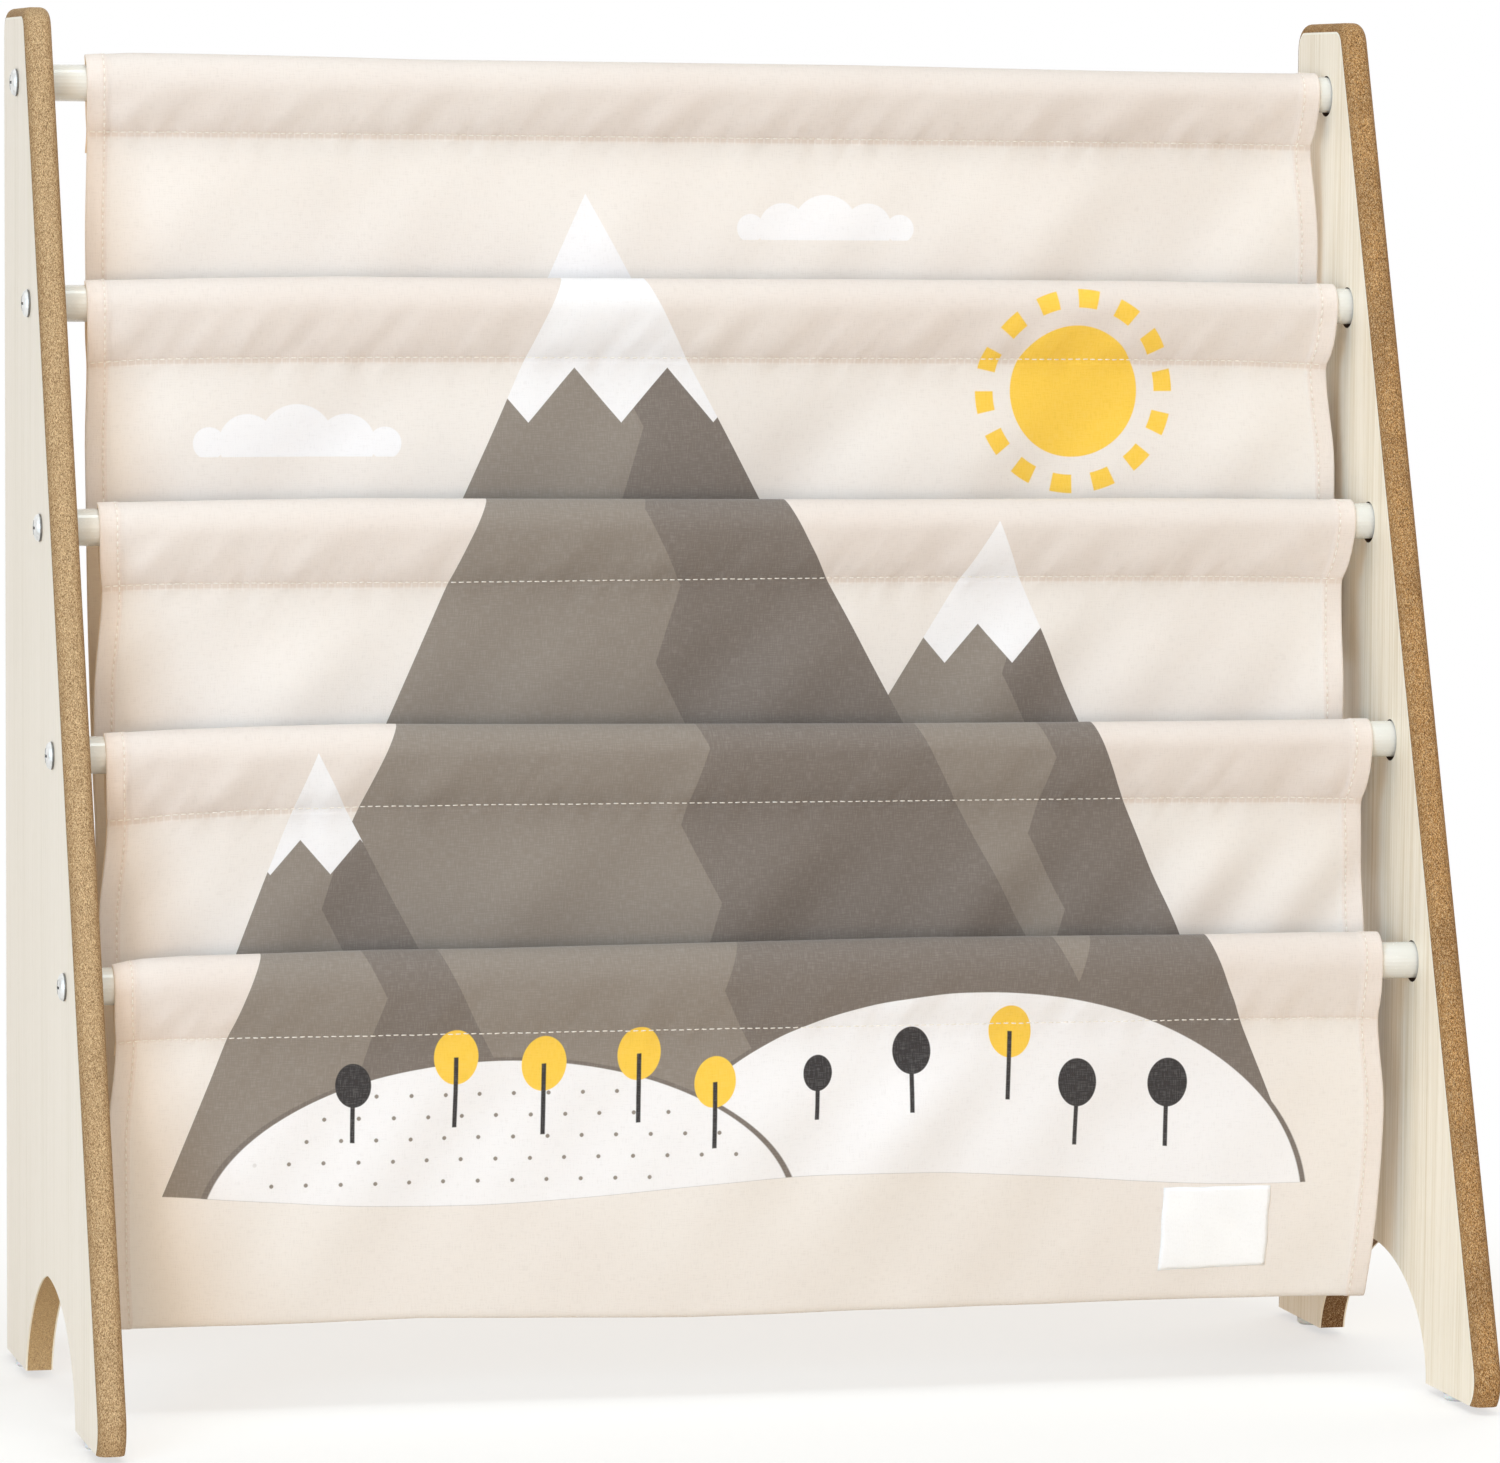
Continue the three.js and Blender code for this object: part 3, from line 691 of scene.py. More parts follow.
def panel_loop(inset):
    """The panel's outline, drawn in by inset except along the arch and the feet.

    Points are (forward from the back edge, up from the feet), and there are as many for any inset.
    """
    lean = front_lean()
    top_centre = PANEL_HEIGHT - TOP_CORNER_RADIUS
    toe_x, toe_z = PANEL_DEPTH - TOE_RADIUS, TOE_CENTRE_HEIGHT
    edge_x = toe_x + (TOE_RADIUS - (top_centre - toe_z) * math.sin(lean)) / math.cos(lean)
    front_centre = edge_x - TOP_CORNER_RADIUS / math.cos(lean)

    def arc(x, z, radius, first, last, steps):
        turns = [first + (last - first) * i / steps for i in range(steps + 1)]
        return [(x + radius * math.cos(t), z + radius * math.sin(t)) for t in turns]

    corner = TOP_CORNER_RADIUS - inset
    toe = TOE_RADIUS - inset
    floor_turn = -math.asin(toe_z / toe)
    points = [(inset, 0)]
    points += arc(TOP_CORNER_RADIUS, top_centre, corner, math.pi, math.pi / 2, 12)
    points += arc(front_centre, top_centre, corner, math.pi / 2, lean, 10)
    points += arc(toe_x, toe_z, toe, lean, floor_turn, 14)

    width = PANEL_DEPTH - BACK_FOOT - FRONT_FOOT
    apex = BACK_FOOT + width * ARCH_APEX_SHARE
    steps = ARCH_STEPS
    for reach, power, side, turns in (
        (BACK_FOOT + width - apex, ARCH_FRONT_POWER, 1, range(steps + 1)),
        (apex - BACK_FOOT, ARCH_BACK_POWER, -1, range(steps - 1, -1, -1)),
    ):
        for i in turns:
            turn = math.pi / 2 * i / steps
            across = reach * math.cos(turn) ** (2 / power)
            points.append((apex + side * across, ARCH_HEIGHT * math.sin(turn) ** (2 / power)))
    return points


def panel_rings():
    """Insets and places across the board, from the middle of one face to the middle of the other."""
    half = PANEL_THICKNESS / 2
    rounds = [i / ROUND_STEPS * math.pi / 2 for i in range(ROUND_STEPS + 1)]
    rise = [(EDGE_ROUND * (1 - math.sin(t)), half - EDGE_ROUND * (1 - math.cos(t))) for t in rounds]
    outer = [(EDGE_ROUND + FOIL_EDGE, half)] + rise
    return outer + [(inset, -across) for inset, across in reversed(outer)]


def side_panel(side, face, core):
    """A board with foil on its flat faces and sockets for the tubes in its inner face."""
    low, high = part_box(f"side_panel_{side}")
    middle = (low[0] + high[0]) / 2
    outward = -1 if side == "left" else 1
    mesh_maker = bmesh.new()
    face_slot, foil_slot, core_slot, bore_slot = range(4)

    def vertex(across, forward, up):
        return mesh_maker.verts.new((middle + outward * across, BACK - forward, FOOT_HEIGHT + up))

    def band(ring, following, slot):
        for i in range(len(ring)):
            j = (i + 1) % len(ring)
            made = mesh_maker.faces.new((ring[i], ring[j], following[j], following[i]))
            made.material_index = slot
            made.smooth = True

    rings = [
        [vertex(across, forward, up) for forward, up in panel_loop(inset)]
        for inset, across in panel_rings()
    ]
    last_strip = len(rings) - 2
    for strip, (ring, following) in enumerate(zip(rings, rings[1:])):
        band(ring, following, foil_slot if strip in (0, last_strip) else core_slot)

    sockets = []
    turns = [TURN * i / SOCKET_FACETS for i in range(SOCKET_FACETS)]
    for rod_y, rod_z in RODS:
        forward = BACK - rod_y
        up = rod_z - FOOT_HEIGHT - SOCKET_DROP
        circle = [(forward + SOCKET_RADIUS * math.cos(t), up + SOCKET_RADIUS * math.sin(t)) for t in turns]
        mouth, floor = (
            [vertex(across, *point) for point in circle]
            for across in (-PANEL_THICKNESS / 2, SOCKET_DEPTH - PANEL_THICKNESS / 2)
        )
        band(mouth, floor, bore_slot)
        mesh_maker.faces.new(floor).material_index = bore_slot
        sockets.append(mouth)

    for ring, holes in ((rings[0], []), (rings[-1], sockets)):
        edges = []
        for loop in [ring, *holes]:
            edges += [mesh_maker.edges.get((a, b)) for a, b in zip(loop, loop[1:] + loop[:1])]
        filled = bmesh.ops.triangle_fill(mesh_maker, use_beauty=True, use_dissolve=False, edges=edges)
        for made in filled["geom"]:
            if isinstance(made, bmesh.types.BMFace):
                made.material_index = face_slot
                made.smooth = False

    bmesh.ops.remove_doubles(mesh_maker, verts=mesh_maker.verts, dist=SAME_PLACE)
    bmesh.ops.dissolve_degenerate(mesh_maker, dist=SAME_PLACE, edges=mesh_maker.edges)
    bmesh.ops.recalc_face_normals(mesh_maker, faces=mesh_maker.faces)
    for edge in mesh_maker.edges:
        slots = {made.material_index for made in edge.link_faces}
        edge.smooth = edge.calc_face_angle(0) < math.radians(25) and len(slots) == 1
    mesh = bpy.data.meshes.new(f"board_{side}")
    mesh_maker.to_mesh(mesh)
    mesh_maker.free()
    return piece(f"board_{side}", mesh, [face, FOIL, core, BORE], [f"side_panel_{side}"])


# Sling

def smooth_rise(value, low, high):
    share = np.clip((value - low) / (high - low), 0, 1)
    return share * share * (3 - 2 * share)


def waves(seed, shortest, longest, count):
    """A gentle random wave along x, made of sines of chosen lengths, with a size of about 1."""
    chance = np.random.default_rng(seed)
    lengths = chance.uniform(shortest, longest, count)
    phases = chance.uniform(0, TURN, count)
    weights = chance.uniform(0.5, 1, count)
    weights /= np.sqrt((weights ** 2).sum() / 2)

    def wave(x, shift=0.0):
        total = 0
        for length, phase, weight in zip(lengths, phases, weights):
            total = total + weight * np.sin((x + shift) * TURN / length + phase)
        return total
    return wave


BILLOWS = [waves(10 + rod, 0.14, 0.42, 4) for rod in range(5)]
GATHERS = [waves(20 + rod, 0.012, 0.026, 7) for rod in range(5)]
PUCKERS = [waves(50 + rod, 0.014, 0.030, 6) for rod in range(5)]
DENTS = [waves(30 + rod, 0.030, 0.075, 6) for rod in range(5)]
CREASES = [waves(40 + rod, 0.045, 0.13, 5) for rod in range(5)]


def along_row(places, levels, x):
    """Levels between the places where they are given, which are all in millimetres."""
    return np.interp(x, np.array(places) * MM, levels) * MM


class Row:
    """One line across the strip: where its middle lies and what the cloth does there.

    In a pocket, share runs from 0 at the back to 1 at the front, and down from 0 at the seam to 1 at
    the fold.
    """

    def __init__(self, y, z, rod, section, to_rod=None, share=0.0, down=0.0):
        self.y, self.z = y, z
        self.rod, self.section = rod, section
        self.to_rod, self.share, self.down = to_rod, share, down
        self.in_pocket = to_rod is not None
        self.nearest = to_rod if share > 0.5 else rod
        self.below_seam = RODS[self.nearest][1] - STITCH_DROP - z


def spread(first, last, step):
    """Evenly spaced numbers from first to last, without last."""
    count = max(2, round(abs(last - first) / step))
    return [first + (last - first) * i / count for i in range(count)]


def sleeve_rows(rod):
    """From the back of the seam over the tube to the front of it."""
    y, z = RODS[rod]
    radius = ROD_RADIUS + CLOTH / 2 + ROD_GAP
    start = math.acos(radius / STITCH_DROP) - math.pi / 2
    tangent_y, tangent_z = y + radius * math.cos(start), z + radius * math.sin(start)
    seam_y, seam_z = y + LAYER_OFFSET, z - STITCH_DROP
    rising = [(
        seam_y + (tangent_y - seam_y) * share + BACK_BOW * math.sin(math.pi * share),
        seam_z + (tangent_z - seam_z) * share,
    ) for share in spread(0, 1, 0.1)]
    turns = spread(start, math.pi - start, 0.19)
    over = [(y + radius * math.cos(turn), z + radius * math.sin(turn)) for turn in turns]
    falling = [(2 * y - tangent_y, tangent_z)]
    falling += [(2 * y - back_y, height) for back_y, height in reversed(rising)]
    return [Row(*place, rod, "sleeve") for place in rising + over + falling]


def pocket_rows(pocket):
    """Down the back of a pocket, round its fold and up its front."""
    back_y, back_z = RODS[pocket]
    front_y, front_z = RODS[pocket + 1]
    front_side = -1 if pocket + 1 == LAST else 1
    top_back = back_y - LAYER_OFFSET
    top_front = front_y + front_side * LAYER_OFFSET
    low_back = top_back - POCKET_LEAN
    low_front = top_front + front_side * POCKET_LEAN
    fold_top = front_z - POCKET_DROPS[pocket] + FOLD_RISE
    middle = (low_back + low_front) / 2
    closing = (low_back - low_front) / 2 - FOLD_REACH
    rows = []
    back_top, front_top = back_z - STITCH_DROP, front_z - STITCH_DROP
    hidden = front_z - HIDDEN_FROM
    for z in spread(back_top, hidden, FINE_ROW) + spread(hidden, fold_top, HIDDEN_ROW):
        down = (back_top - z) / (back_top - fold_top)
        y = top_back + (low_back - top_back) * down - closing * down ** 2
        rows.append(Row(y, z, pocket, "back", to_rod=pocket + 1, down=down))
    for turn in spread(0, math.pi, math.pi / 12):
        rows.append(Row(
            middle + FOLD_REACH * math.cos(turn), fold_top - FOLD_RISE * math.sin(turn), pocket, "fold",
            to_rod=pocket + 1, share=0.5 - 0.5 * math.cos(turn), down=1.0,
        ))
    for z in spread(fold_top, front_top, FINE_ROW if pocket + 1 == LAST else COARSE_ROW):
        down = (front_top - z) / (front_top - fold_top)
        y = top_front + (low_front - top_front) * down + closing * down ** 2
        rows.append(Row(y, z, pocket, "front", to_rod=pocket + 1, share=1.0, down=down))
    return rows


def tail_rows(rod, first_drop, last_drop):
    """The end of the strip that hangs behind a seam."""
    y, z = RODS[rod]
    seam = z - STITCH_DROP
    return [
        Row(y + LAYER_OFFSET, height, rod, "tail")
        for height in spread(seam - first_drop, seam - last_drop, TAIL_ROW)
    ]


def strip_rows():
    """The whole strip, which goes over the last tube from the front to the back."""
    rows = tail_rows(0, SEAM_TAIL, 0)
    for rod in range(LAST):
        rows += sleeve_rows(rod) + pocket_rows(rod)
    rows += reversed(sleeve_rows(LAST))
    return rows + tail_rows(LAST, TAIL_ROW, SEAM_TAIL + 1 * MM)


def column_places():
    """Places across the strip, from -1 to 1, closer together at the hems."""
    inward = [0, 0.25, 1.2, 4.2, 7.4, 8.6, 9.4, 11.5]
    inner = SLING_HALF_WIDTH - MIDDLE_INSET
    right = [SLING_HALF_WIDTH - distance * MM for distance in inward]
    middle = list(np.linspace(-inner, inner, MIDDLE_COLUMNS))
    return np.array([-place for place in right] + middle + right[::-1]) / SLING_HALF_WIDTH


def hang(rod, x, drop):
    """How far the cloth that hangs from a rod stands towards the back, at a drop below the rod."""
    settled = smooth_rise(drop, STITCH_DROP, STITCH_DROP + SETTLING)
    beside_seam = np.exp(-np.abs(drop - STITCH_DROP) / SEAM_REACH)
    billow = BILLOW * BILLOWS[rod](x) * settled
    deeper_on_right = 0.6 + 0.4 * smooth_rise(x, -DRAG_SIDES, DRAG_SIDES)
    pulled = DRAG_FOLDS[rod] * deeper_on_right
    fading = settled * np.exp(-np.maximum(drop - DRAG_START, 0) / DRAG_FADING)
    slanted = pulled * CREASES[rod](x, shift=0.7 * drop) * fading
    gather = SEAM_GATHER * GATHERS[rod](x) * beside_seam
    edge = np.exp(-(SLING_HALF_WIDTH - np.abs(x)) / CURL_REACH)
    curl = -HEM_CURL * edge * settled * np.sin(drop * 36 + rod)
    return billow + slanted + gather + curl


def tucks(rod, flat_x, drop):
    """Creases in a sleeve where the stiff hem gathers: one along the hem, one slanting off its foot."""
    inward = SLING_HALF_WIDTH - np.abs(flat_x)
    low = smooth_rise(drop, 2 * MM, 16 * MM)
    along_hem = -CREASE_DEPTH * np.exp(-((inward - HEM_CREASE) / CREASE_WIDTH) ** 2) * low
    beside = inward - TUCK_START - (STITCH_DROP - drop) * (0.8 + 0.12 * rod)
    fold = np.exp(-(beside / TUCK_WIDTH) ** 2)
    fold -= 0.9 * np.exp(-((beside - HOLLOW_OFFSET) / HOLLOW_WIDTH) ** 2)
    size = np.where(flat_x < 0, LEFT_TUCKS[rod], RIGHT_TUCKS[rod])
    return along_hem + size * MM * fold * smooth_rise(drop, 1 * MM, 12 * MM)


def row_ends(row):
    """Left and right end of a row, in metres."""
    if row.in_pocket:
        settled = smooth_rise(row.below_seam, 0, SETTLING)
        folded = row.down ** 3
        levels = [
            (SEAM_ENDS[row.nearest], 1 - settled),
            (PANEL_ENDS[row.nearest], settled * (1 - folded)),
            (FOLD_ENDS[row.rod], settled * folded),
        ]
    else:
        close = math.exp(-abs(row.below_seam) / END_DRAW)
        levels = [(SLEEVE_ENDS[row.rod], 1 - close), (SEAM_ENDS[row.rod], close)]
    left, right = (sum(ends[i] * share for ends, share in levels) * MM for i in (0, 1))
    drawn = 0.2 * max(row.y - RODS[row.rod][0], 0) if row.section == "sleeve" else 0
    return left + drawn, right - drawn


def pocket_line(row, x):
    """Depths and heights of the cloth along a row of a pocket."""
    together = 0.5 * smooth_rise(row.down, 0.35, 0.95)
    front = 1 - together if row.share > 0.5 else together
    y = row.y + hang(row.rod, x, RODS[row.rod][1] - row.z) * (1 - front)
    y += hang(row.to_rod, x, RODS[row.to_rod][1] - row.z) * front
    lift = along_row(ALONG_SLEEVE, SEAM_LIFTS[row.nearest], x)
    z = row.z + lift * (1 - smooth_rise(row.below_seam, 0, LIFT_FADING))
    z += along_row(ALONG_FOLD, SAG, x) * smooth_rise(row.down, 0.3, 1.0)
    return y, z


def sewn_line(row, x, flat_x):
    """Depths and heights of the cloth along a row of a sleeve or of a tail."""
    rod = row.rod
    rod_y, rod_z = RODS[rod]
    drop = rod_z - row.z
    low = min(max((drop + CROWN_START) / (STITCH_DROP + CROWN_START), 0), 1)
    z = row.z + along_row(ALONG_SLEEVE, SEAM_LIFTS[rod], x) * low
    z += along_row(ALONG_SLEEVE, CROWNS[rod], x) * smooth_rise(-drop, CROWN_START, CROWN_FULL)
    if row.section == "tail":
        return row.y + hang(rod, x, drop), z
    loose = smooth_rise(drop, -SLACK_TOP, -SLACK_FULL) * smooth_rise(STITCH_DROP - drop, 0, SLACK_END)
    puckers = DENT * DENTS[rod](x, shift=0.6 * drop) + PUCKER * PUCKERS[rod](x, shift=0.8 * drop)
    bulge = np.maximum((SLACK + puckers + tucks(rod, flat_x, drop)) * loose, LEAST_SLACK)
    gather = SEAM_GATHER * GATHERS[rod](x) * np.exp(-(STITCH_DROP - drop) / SEAM_REACH)
    return row.y + bulge * (1 if row.y > rod_y else -1) + gather, z


def strip_grid():
    """The strip's rows, places across it, middle surface, and each row's length along it."""
    rows = strip_rows()
    across = column_places()
    flat_x = across * SLING_HALF_WIDTH
    lines = []
    for row in rows:
        left, right = row_ends(row)
        x = (left + right) / 2 + across * (right - left) / 2
        y, z = pocket_line(row, x) if row.in_pocket else sewn_line(row, x, flat_x)
        lines.append(np.stack([x, y, z], axis=1))
    points = np.array(lines)
    for _ in range(2):
        smoothed = points.copy()
        smoothed[1:-1] = points[1:-1] * 0.5 + (points[:-2] + points[2:]) * 0.25
        points = smoothed
    steps = np.linalg.norm(np.diff(points[:, len(across) // 2], axis=0), axis=1)
    return rows, across, points, np.concatenate([[0], np.cumsum(steps)])


ROWS, ACROSS, STRIP, ALONG = strip_grid()


def strip_normals():
    down = np.gradient(STRIP, axis=0)
    right = np.gradient(STRIP, axis=1)
    normal = np.cross(down, right)
    return normal / np.linalg.norm(normal, axis=2, keepdims=True)


NORMALS = strip_normals()


def strip_thickness():
    inward = (1 - np.abs(ACROSS)) * SLING_HALF_WIDTH
    hem = 1 - smooth_rise(inward, HEM_WIDTH - 0.5 * MM, HEM_WIDTH + 0.5 * MM)
    rounded = np.where(inward < 0.1 * MM, 0.35, 1.0)
    return (CLOTH + HEM_EXTRA * hem) * rounded


THICKNESS = strip_thickness()


def face_of_strip(side):
    """One face of the strip, 1 for the printed one and -1 for the other."""
    return STRIP + NORMALS * (side * THICKNESS[None, :, None] / 2)


def printed_faces(row):
    """Whether the print shows on the strip's first face, and on its other face, in a row."""
    first = row.rod < LAST and (
        row.section == "sleeve" or (row.section == "back" and row.z > RODS[row.to_rod][1] + 3 * MM)
    )
    other = row.nearest == LAST and row.section != "tail"
    return first, other


def sling_mesh():
    mesh = shell("canvas_sling", face_of_strip(1), face_of_strip(-1))
    width = len(ACROSS)
    materials = []
    for row in ROWS[:-1]:
        materials += [0 if shown else 1 for shown in printed_faces(row)] * (width - 1) + [1, 1]
    materials += [1, 1] * (width - 1)
    mesh.polygons.foreach_set("material_index", materials)

    corners = np.zeros(len(mesh.loops), dtype=int)
    mesh.loops.foreach_get("vertex_index", corners)
    loop_rows, loop_columns = corners // width % len(ROWS), corners % width
    places = np.array([vertex.co for vertex in mesh.vertices])[corners]
    stretches = [LAST if row.section == "front" else row.rod for row in ROWS]
    shifts = np.array(PRINT_SHIFTS)[stretches] * MM
    seam_drops = np.array([row.below_seam for row in ROWS])
    flat_x = ACROSS * SLING_HALF_WIDTH
    hem_distance = np.abs(flat_x) - HEM_LINE
    layouts = {
        "cloth": (ALONG[loop_rows], flat_x[loop_columns]),
        "picture": (places[:, 0] + shifts[loop_rows], places[:, 2]),
        "seams": (seam_drops[loop_rows], hem_distance[loop_columns]),
    }
    for name, (u, v) in layouts.items():
        layer = mesh.uv_layers.new(name=name)
        layer.data.foreach_set("uv", np.stack([u, v], axis=1).ravel())
    return mesh


def on_strip(side, row, column):
    """Point and outward normal on one face, at a row and column that may lie between lines."""
    i, j = int(row), int(column)
    i, j = min(i, len(ROWS) - 2), min(j, len(ACROSS) - 2)
    s, t = row - i, column - j

    def between(grid):
        near = grid[i, j] * (1 - t) + grid[i, j + 1] * t
        far = grid[i + 1, j] * (1 - t) + grid[i + 1, j + 1] * t
        return near * (1 - s) + far * s
    normal = between(NORMALS) * side
    thick = THICKNESS[j] * (1 - t) + THICKNESS[j + 1] * t
    return between(STRIP) + normal * thick / 2, normal / np.linalg.norm(normal)


def column_at(x):
    """Column number of a place across the flat strip, in metres from its middle."""
    return float(np.interp(x / SLING_HALF_WIDTH, ACROSS, np.arange(len(ACROSS))))


def thread_mesh():
    """All the stitches: one line across under each tube and one down each hem."""
    vertices, faces = [], []
    chance = np.random.default_rng(7)

    def stitch(side, start, end):
        """A stitch between two places, each a row and a column."""
        first, normal = on_strip(side, *start)
        last, _ = on_strip(side, *end)
        line = last - first
        length = np.linalg.norm(line)
        if length < 0.01 * MM:
            return
        sideways = np.cross(normal, line / length)
        base = len(vertices)
        vertices.append(first - normal * THREAD_RADIUS * 0.6)
        for share in (0.18, 0.82):
            centre = first + line * share + normal * THREAD_RADIUS * 0.25
            for turn in range(THREAD_FACETS):
                angle = TURN * turn / THREAD_FACETS
                vertices.append(centre + THREAD_RADIUS * (
                    math.cos(angle) * sideways + math.sin(angle) * normal
                ))
        vertices.append(last - normal * THREAD_RADIUS * 0.6)
        near, far = base + 1, base + 1 + THREAD_FACETS
        for turn in range(THREAD_FACETS):
            following = (turn + 1) % THREAD_FACETS
            faces.append((base, near + following, near + turn))
            faces.append((near + turn, near + following, far + following, far + turn))
            faces.append((far + THREAD_FACETS, far + turn, far + following))

    inner = SLING_HALF_WIDTH - SEAM_END_GAP
    for rod in range(LAST + 1):
        seam_rows = [i for i, row in enumerate(ROWS) if row.rod == rod and row.section == "sleeve"]
        side = -1 if rod == LAST else 1
        for seam_row in (seam_rows[-1], seam_rows[0]):
            for x in np.arange(-inner, inner - STITCH_LENGTH, STITCH_PITCH):
                first_row, last_row = seam_row + chance.uniform(-0.05, 0.05, 2)
                start, end = column_at(x), column_at(x + STITCH_LENGTH)
                stitch(side, (first_row, start), (last_row, end))

    for x in (-HEM_LINE, HEM_LINE):
        column = column_at(x)
        for place in np.arange(ALONG[1], ALONG[-1] - STITCH_LENGTH, STITCH_PITCH):
            start, end = np.interp([place, place + STITCH_LENGTH], ALONG, np.arange(len(ALONG)))
            for side in (1, -1):
                stitch(side, (start, column), (end, column))

    return mesh_of("seam_thread", vertices, faces)


def label_mesh():
    """A blank patch of tape that follows the front of the lowest pocket."""
    rows = [i for i, row in enumerate(ROWS) if row.in_pocket and row.nearest == LAST]
    heights = [STRIP[i, len(ACROSS) // 2, 2] for i in rows]
    columns, lines = LABEL_COLUMNS, LABEL_LINES
    centre_x = (LABEL_LEFT + LABEL_RIGHT) / 2
    wave = waves(61, 0.010, 0.030, 4)
    outer, inner = np.zeros((2, lines + 1, columns + 1, 3))
    for line in range(lines + 1):
        up = line / lines
        for step in range(columns + 1):
            right = step / columns
            x = LABEL_LEFT + (LABEL_RIGHT - LABEL_LEFT) * right
            z = LABEL_BOTTOM + (LABEL_TOP - LABEL_BOTTOM) * up + LABEL_TILT * (x - centre_x) * (1 - up)
            z += LABEL_RIPPLE * wave(x) * (up * up + (1 - up) ** 2)
            x += LABEL_WAVER * wave(z + 0.3) - LABEL_SHEAR * (1 - up)
            row = float(np.interp(z, heights, rows))
            column = float(np.interp(x, STRIP[int(row), :, 0], np.arange(len(ACROSS))))
            point, normal = on_strip(-1, row, column)
            edge = min(right, 1 - right, up * 0.75, (1 - up) * 0.75)
            lift = LABEL_THICKNESS * (0.55 + 0.45 * min(1, edge * 30))
            lift += LABEL_SWELL * (1 + wave(x * 0.6 + z))
            outer[line, step] = point + normal * lift
            inner[line, step] = point + normal * LABEL_SEAT
    return shell("blank_label", inner, outer)


# Assembly

FOIL = foil_edge()
BORE = bore_painted_shade()

# Both boards are the same board: the right one's fibreboard is darker and browner and its foil grain darker
# and warmer than the left one's, as painted shade. The fifth colour of each fibreboard is the painted tone
# of its arch: light on the left, dark shade on the right.
side_panel(
    "left",
    faced_board("faced_board_left", srgb(252, 243, 231), srgb(242, 233, 219)),
    bare_fibreboard(
        "fibreboard_left", srgb(108, 82, 52), srgb(176, 144, 105), srgb(218, 188, 148), srgb(200, 168, 122),
        fleck_share=0.5, cloud_share=0.12,
    ),
)
side_panel(
    "right",
    faced_board("faced_board_right_painted_shade", srgb(252, 243, 228), srgb(228, 214, 188)),
    bare_fibreboard(
        "fibreboard_right_painted_shade", srgb(72, 42, 15), srgb(166, 120, 68), srgb(224, 182, 126), srgb(74, 42, 20),
        fleck_share=0.75, cloud_share=0.3,
    ),
)

# Each canvas takes a lighter colour for one layer (painted light through the cloth), and darker colours for
# two layers and for the hem (painted shade); the plain side's tan hem is painted shade
PRINTED = canvas("printed_canvas", srgb(243, 237, 233), srgb(232, 221, 215), srgb(232, 220, 213), True)
PLAIN = canvas("plain_canvas", srgb(243, 230, 213), srgb(240, 226, 208), srgb(240, 210, 176), False)
cloth = piece("canvas_sling", sling_mesh(), [PRINTED, PLAIN], ["sling"])
thread = piece("seam_thread", thread_mesh(), [cotton_thread()])
label = piece("blank_label", label_mesh(), [woven_tape()], ["sling_label"])

ENAMEL = white_enamel()
PLUG = moulded_plug()
SCREW = zinc_plate("screw_zinc", "screw", srgb(240, 240, 238), srgb(212, 212, 209), 0.34)
NAIL = zinc_plate("nail_zinc", "nail", srgb(206, 208, 212), srgb(160, 162, 166), 0.2)
GLIDE = milky_plastic()
SOLID_FINISHES = [
    ("rod_insert_", PLUG),
    ("rod_", ENAMEL),
    ("screw_", SCREW),
    ("glide_nail_", NAIL),
    ("glide_", GLIDE),
]
for name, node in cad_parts.items():
    for start, material in SOLID_FINISHES:
        if name.startswith(start):
            node.data.materials.clear()
            node.data.materials.append(material)
            node.data.shade_smooth()
            node.data.set_sharp_from_angle(angle=math.radians(40))
            break


# Stage

def studio_floor():
    """Pale paper round the shelf, which runs out into pure white further off."""
    f = Finish("studio_floor", "", 0.9)
    x, y, _ = f.axes(f.place())
    speck = f.noise(f.place(), 2.0, 2.0)
    seen = f.seen_directly()
    far = (x * x + y * y).root().step(0.30, 0.75)
    f.shared((far * 0.4 + 0.6) * seen, f.node("ShaderNodeEmission"))
    paper = f.mixed(speck, srgb(255, 252, 248), srgb(253, 250, 246))
    return f.finished(f.mixed(seen, srgb(214, 204, 190), paper))


FLOOR_REACH = 6.0
floor_corners = [(x * FLOOR_REACH, y * FLOOR_REACH, 0) for x, y in ((-1, -1), (1, -1), (1, 1), (-1, 1))]
floor = placed("floor", mesh_of("floor", floor_corners, [(0, 1, 2, 3)]))
floor.data.materials.append(studio_floor())


def softbox(name, place, target, width, height, power, colour):
    lamp = bpy.data.lights.new(name, "AREA")
    lamp.shape = "RECTANGLE"
    lamp.size, lamp.size_y = width, height
    lamp.energy = power
    lamp.color = colour
    made = placed(name, lamp)
    made.location = place
    made.rotation_euler = (Vector(target) - Vector(place)).to_track_quat("-Z", "Y").to_euler()


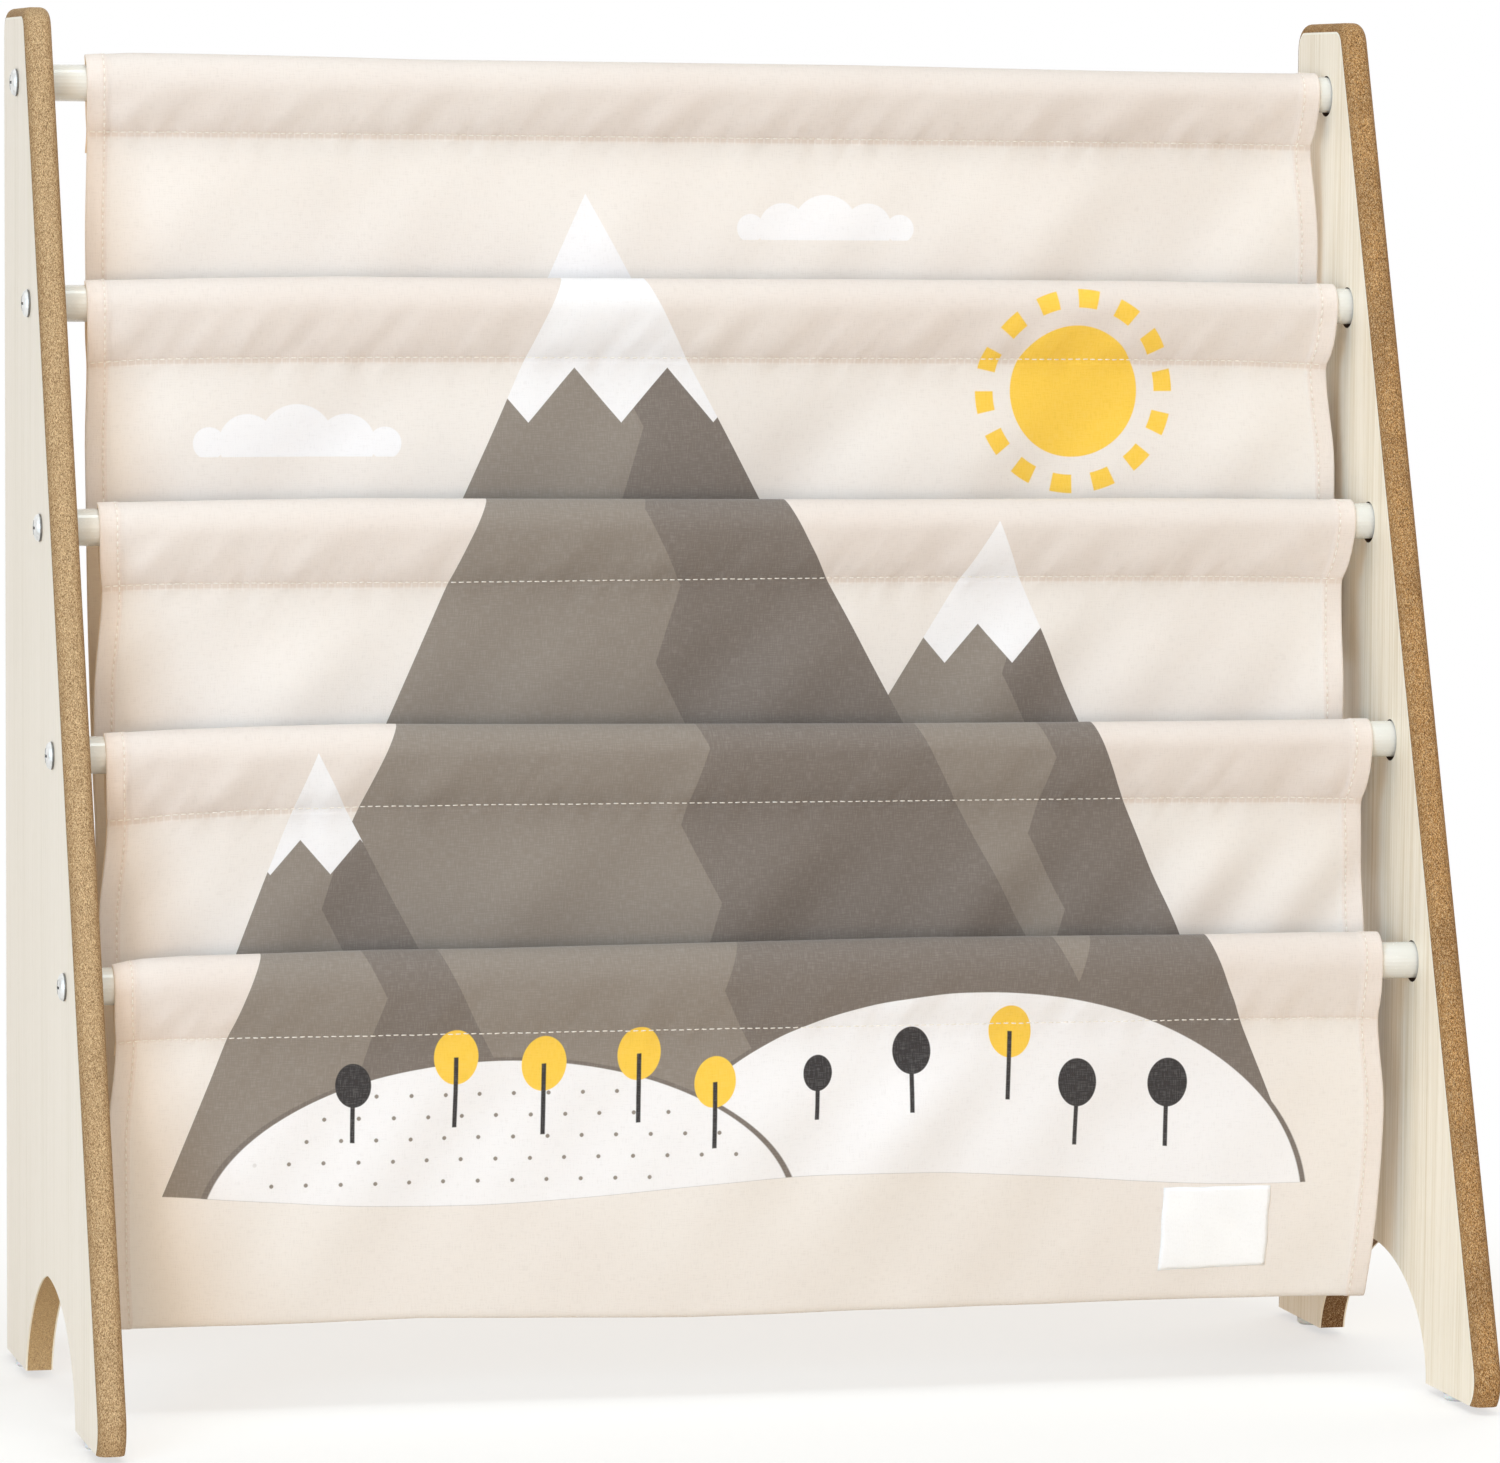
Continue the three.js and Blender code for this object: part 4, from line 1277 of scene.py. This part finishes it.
softbox("key", (-1.9, -2.3, 0.85), (0, 0, 0.05), 1.3, 1.3, 46, (0.48, 0.755, 1.0))
softbox("fill", (1.1, -3.0, 0.9), (0, 0, 0.1), 2.2, 1.8, 11, (1.0, 0.97, 0.92))
softbox("warm_fill", (-1.35, -3.1, 0.35), (0, 0, 0.05), 0.9, 0.7, 29, (1.0, 0.76, 0.53))
softbox("top", (-0.1, -0.6, 2.6), (0, 0, 0.3), 2.0, 0.8, 27, (0.80, 0.94, 1.0))
softbox("back", (1.9, 2.2, 1.2), (0, 0, 0.25), 2.6, 2.0, 40, (0.84, 0.94, 1.0))

WARM_SKY = (0.48, 0.405, 0.32, 1)
PURE_WHITE = (1, 1, 1, 1)
world = bpy.data.worlds.new("studio")
sky = Nodes(world)
sky.feed(sky.mixed(sky.seen_directly(), WARM_SKY, PURE_WHITE), sky.tree.nodes["Background"], "Color")
bpy.context.scene.world = world
bpy.context.scene.view_settings.view_transform = "Standard"

# Camera at the photograph's place. Its lengths in the picture are pixels of the photograph.
CAMERA_PLACE = (-0.7380, -3.0261, 0.5478)
YAW, PITCH, ROLL = (math.radians(angle) for angle in (13.7557, 5.7191, 0.4639))
PICTURE_WIDTH = 1500
FOCAL_LENGTH = 7163.3
UPWARD_SHIFT = 120
SENSOR_WIDTH = 36

ahead = Vector((math.sin(YAW) * math.cos(PITCH), math.cos(YAW) * math.cos(PITCH), -math.sin(PITCH)))
level_right = Vector((math.cos(YAW), -math.sin(YAW), 0))
level_up = level_right.cross(ahead)
right = math.cos(ROLL) * level_right + math.sin(ROLL) * level_up
up = math.cos(ROLL) * level_up - math.sin(ROLL) * level_right
camera = placed("camera", bpy.data.cameras.new("camera"))
camera.data.sensor_width = SENSOR_WIDTH
camera.data.lens = FOCAL_LENGTH / PICTURE_WIDTH * SENSOR_WIDTH
camera.data.shift_y = UPWARD_SHIFT / PICTURE_WIDTH
camera.data.clip_end = 50
turned = Matrix((right, up, -ahead)).transposed().to_4x4()
camera.matrix_world = Matrix.Translation(CAMERA_PLACE) @ turned
bpy.context.scene.camera = camera
